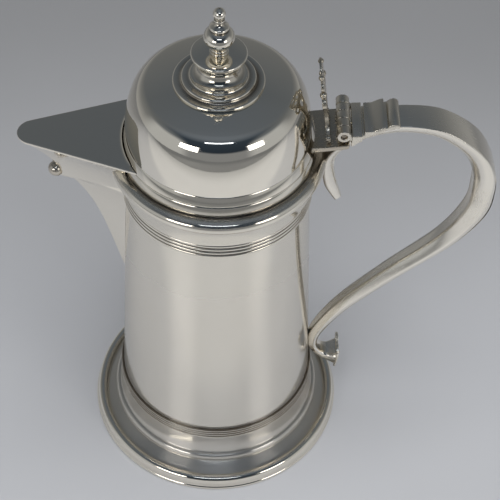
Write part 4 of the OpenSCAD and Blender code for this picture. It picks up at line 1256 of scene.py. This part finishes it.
feed(tree, tree.nodes["Principled BSDF"], {
    "Roughness": 0.85, "Base Color": mixed(tree, 1.0, tone, cloudy, "MULTIPLY"),
    "Emission Color": (0.95, 0.97, 1.0, 1), "Emission Strength": ranged(tree, reach, GLOW_FROM, GLOW_FULL, 0.0, 0.1)})
floor.data.materials.append(paper)


# Studio light: two soft boxes in front at the sides, a narrow strip above,
# and a broad overhead diffuser for the paper. The room above is dim, its sides pale.
LID_CENTRE = Vector((0, 0, 0.24))
WARM_LIGHT = (1.0, 0.99, 0.97)


def soft_box(name, azimuth, elevation, distance, width, height, watts, colour):
    """A rectangular lamp that faces the lid, placed by its direction from it."""
    lamp = bpy.data.lights.new(name, "AREA")
    lamp.shape = "RECTANGLE"
    lamp.size, lamp.size_y = width, height
    lamp.energy = watts
    lamp.color = colour
    box = put(name, lamp)
    a, e = math.radians(azimuth), math.radians(elevation)
    away = Vector((math.sin(a) * math.cos(e), -math.cos(a) * math.cos(e), math.sin(e)))
    box.location = LID_CENTRE + away * distance
    box.rotation_mode = "QUATERNION"
    box.rotation_quaternion = away.to_track_quat("Z", "Y")
    return box


soft_box("box_left", -34, 18, 1.5, 0.58, 0.36, 2.8, WARM_LIGHT)
soft_box("box_right", 46, 17, 1.5, 0.50, 0.38, 1.9, WARM_LIGHT)
soft_box("strip_front", 2, 52, 1.5, 0.72, 0.13, 0.95, (0.80, 0.88, 1.0))
overhead = soft_box("overhead", 22, 76, 1.7, 1.6, 1.6, 31.5, (1.0, 0.99, 0.98))
overhead.visible_glossy = False

room = bpy.data.worlds.new("room")
bpy.context.scene.world = room
room.use_nodes = True
tree = room.node_tree
way = node(tree, "ShaderNodeTexCoord", {}).outputs["Generated"]
split = node(tree, "ShaderNodeSeparateXYZ", {"Vector": way}).outputs
across = math_node(tree, "ABSOLUTE", split["X"])
front_middle = ramp(tree, split["Z"], (
    (0.20, (0.205, 0.212, 0.222)), (0.27, (0.020, 0.028, 0.040)), (0.74, (0.028, 0.040, 0.056)),
    (0.97, (0.124, 0.145, 0.175))))
front_sides = ramp(tree, split["Z"], (
    (0.48, (0.40, 0.412, 0.42)), (0.64, (0.12, 0.135, 0.15)), (0.98, (0.10, 0.111, 0.126))))
back_middle = ramp(tree, split["Z"], (
    (0.0, (0.20, 0.206, 0.208)), (0.20, (0.17, 0.176, 0.18)), (0.45, (0.125, 0.132, 0.138)),
    (0.72, (0.082, 0.095, 0.111)), (0.88, (0.096, 0.113, 0.136)), (1.0, (0.128, 0.150, 0.182))))
back_sides = ramp(tree, split["Z"], (
    (0.0, (0.29, 0.294, 0.294)), (0.36, (0.165, 0.172, 0.176)), (0.70, (0.122, 0.131, 0.138)),
    (1.0, (0.105, 0.116, 0.13))))
front = mixed(tree, ranged(tree, across, 0.50, 0.72, kind="SMOOTHSTEP"), front_middle, front_sides)
back = mixed(tree, ranged(tree, across, 0.0, 0.8), back_middle, back_sides)
towards = ranged(tree, split["Y"], 0.25, -0.15, kind="SMOOTHSTEP")
feed(tree, tree.nodes["Background"], {"Color": mixed(tree, towards, back, front), "Strength": 1.0})


# Camera: a long lens above and in front of the flagon,
# with the spout to one side and the handle to the other, looking down at it.
FRAME_PX = 500
FOCAL_PX = 1400
SENSOR = 36.0

lens = bpy.data.cameras.new("camera")
lens.sensor_width = SENSOR
lens.lens = SENSOR * FOCAL_PX / FRAME_PX
lens.clip_start = 0.01
lens.clip_end = 50.0
camera = put("camera", lens)
right = Vector((0.99971, 0.0036, 0.02381))
up = Vector((-0.01814, 0.76298, 0.64617))
ahead = Vector((0.01584, 0.64641, -0.76283))
turn = Matrix((right, up, -ahead)).transposed().to_4x4()
camera.matrix_world = Matrix.Translation((0.00559, -0.47804, 0.69096)) @ turn
bpy.context.scene.camera = camera
bpy.context.scene.view_settings.view_transform = "Standard"
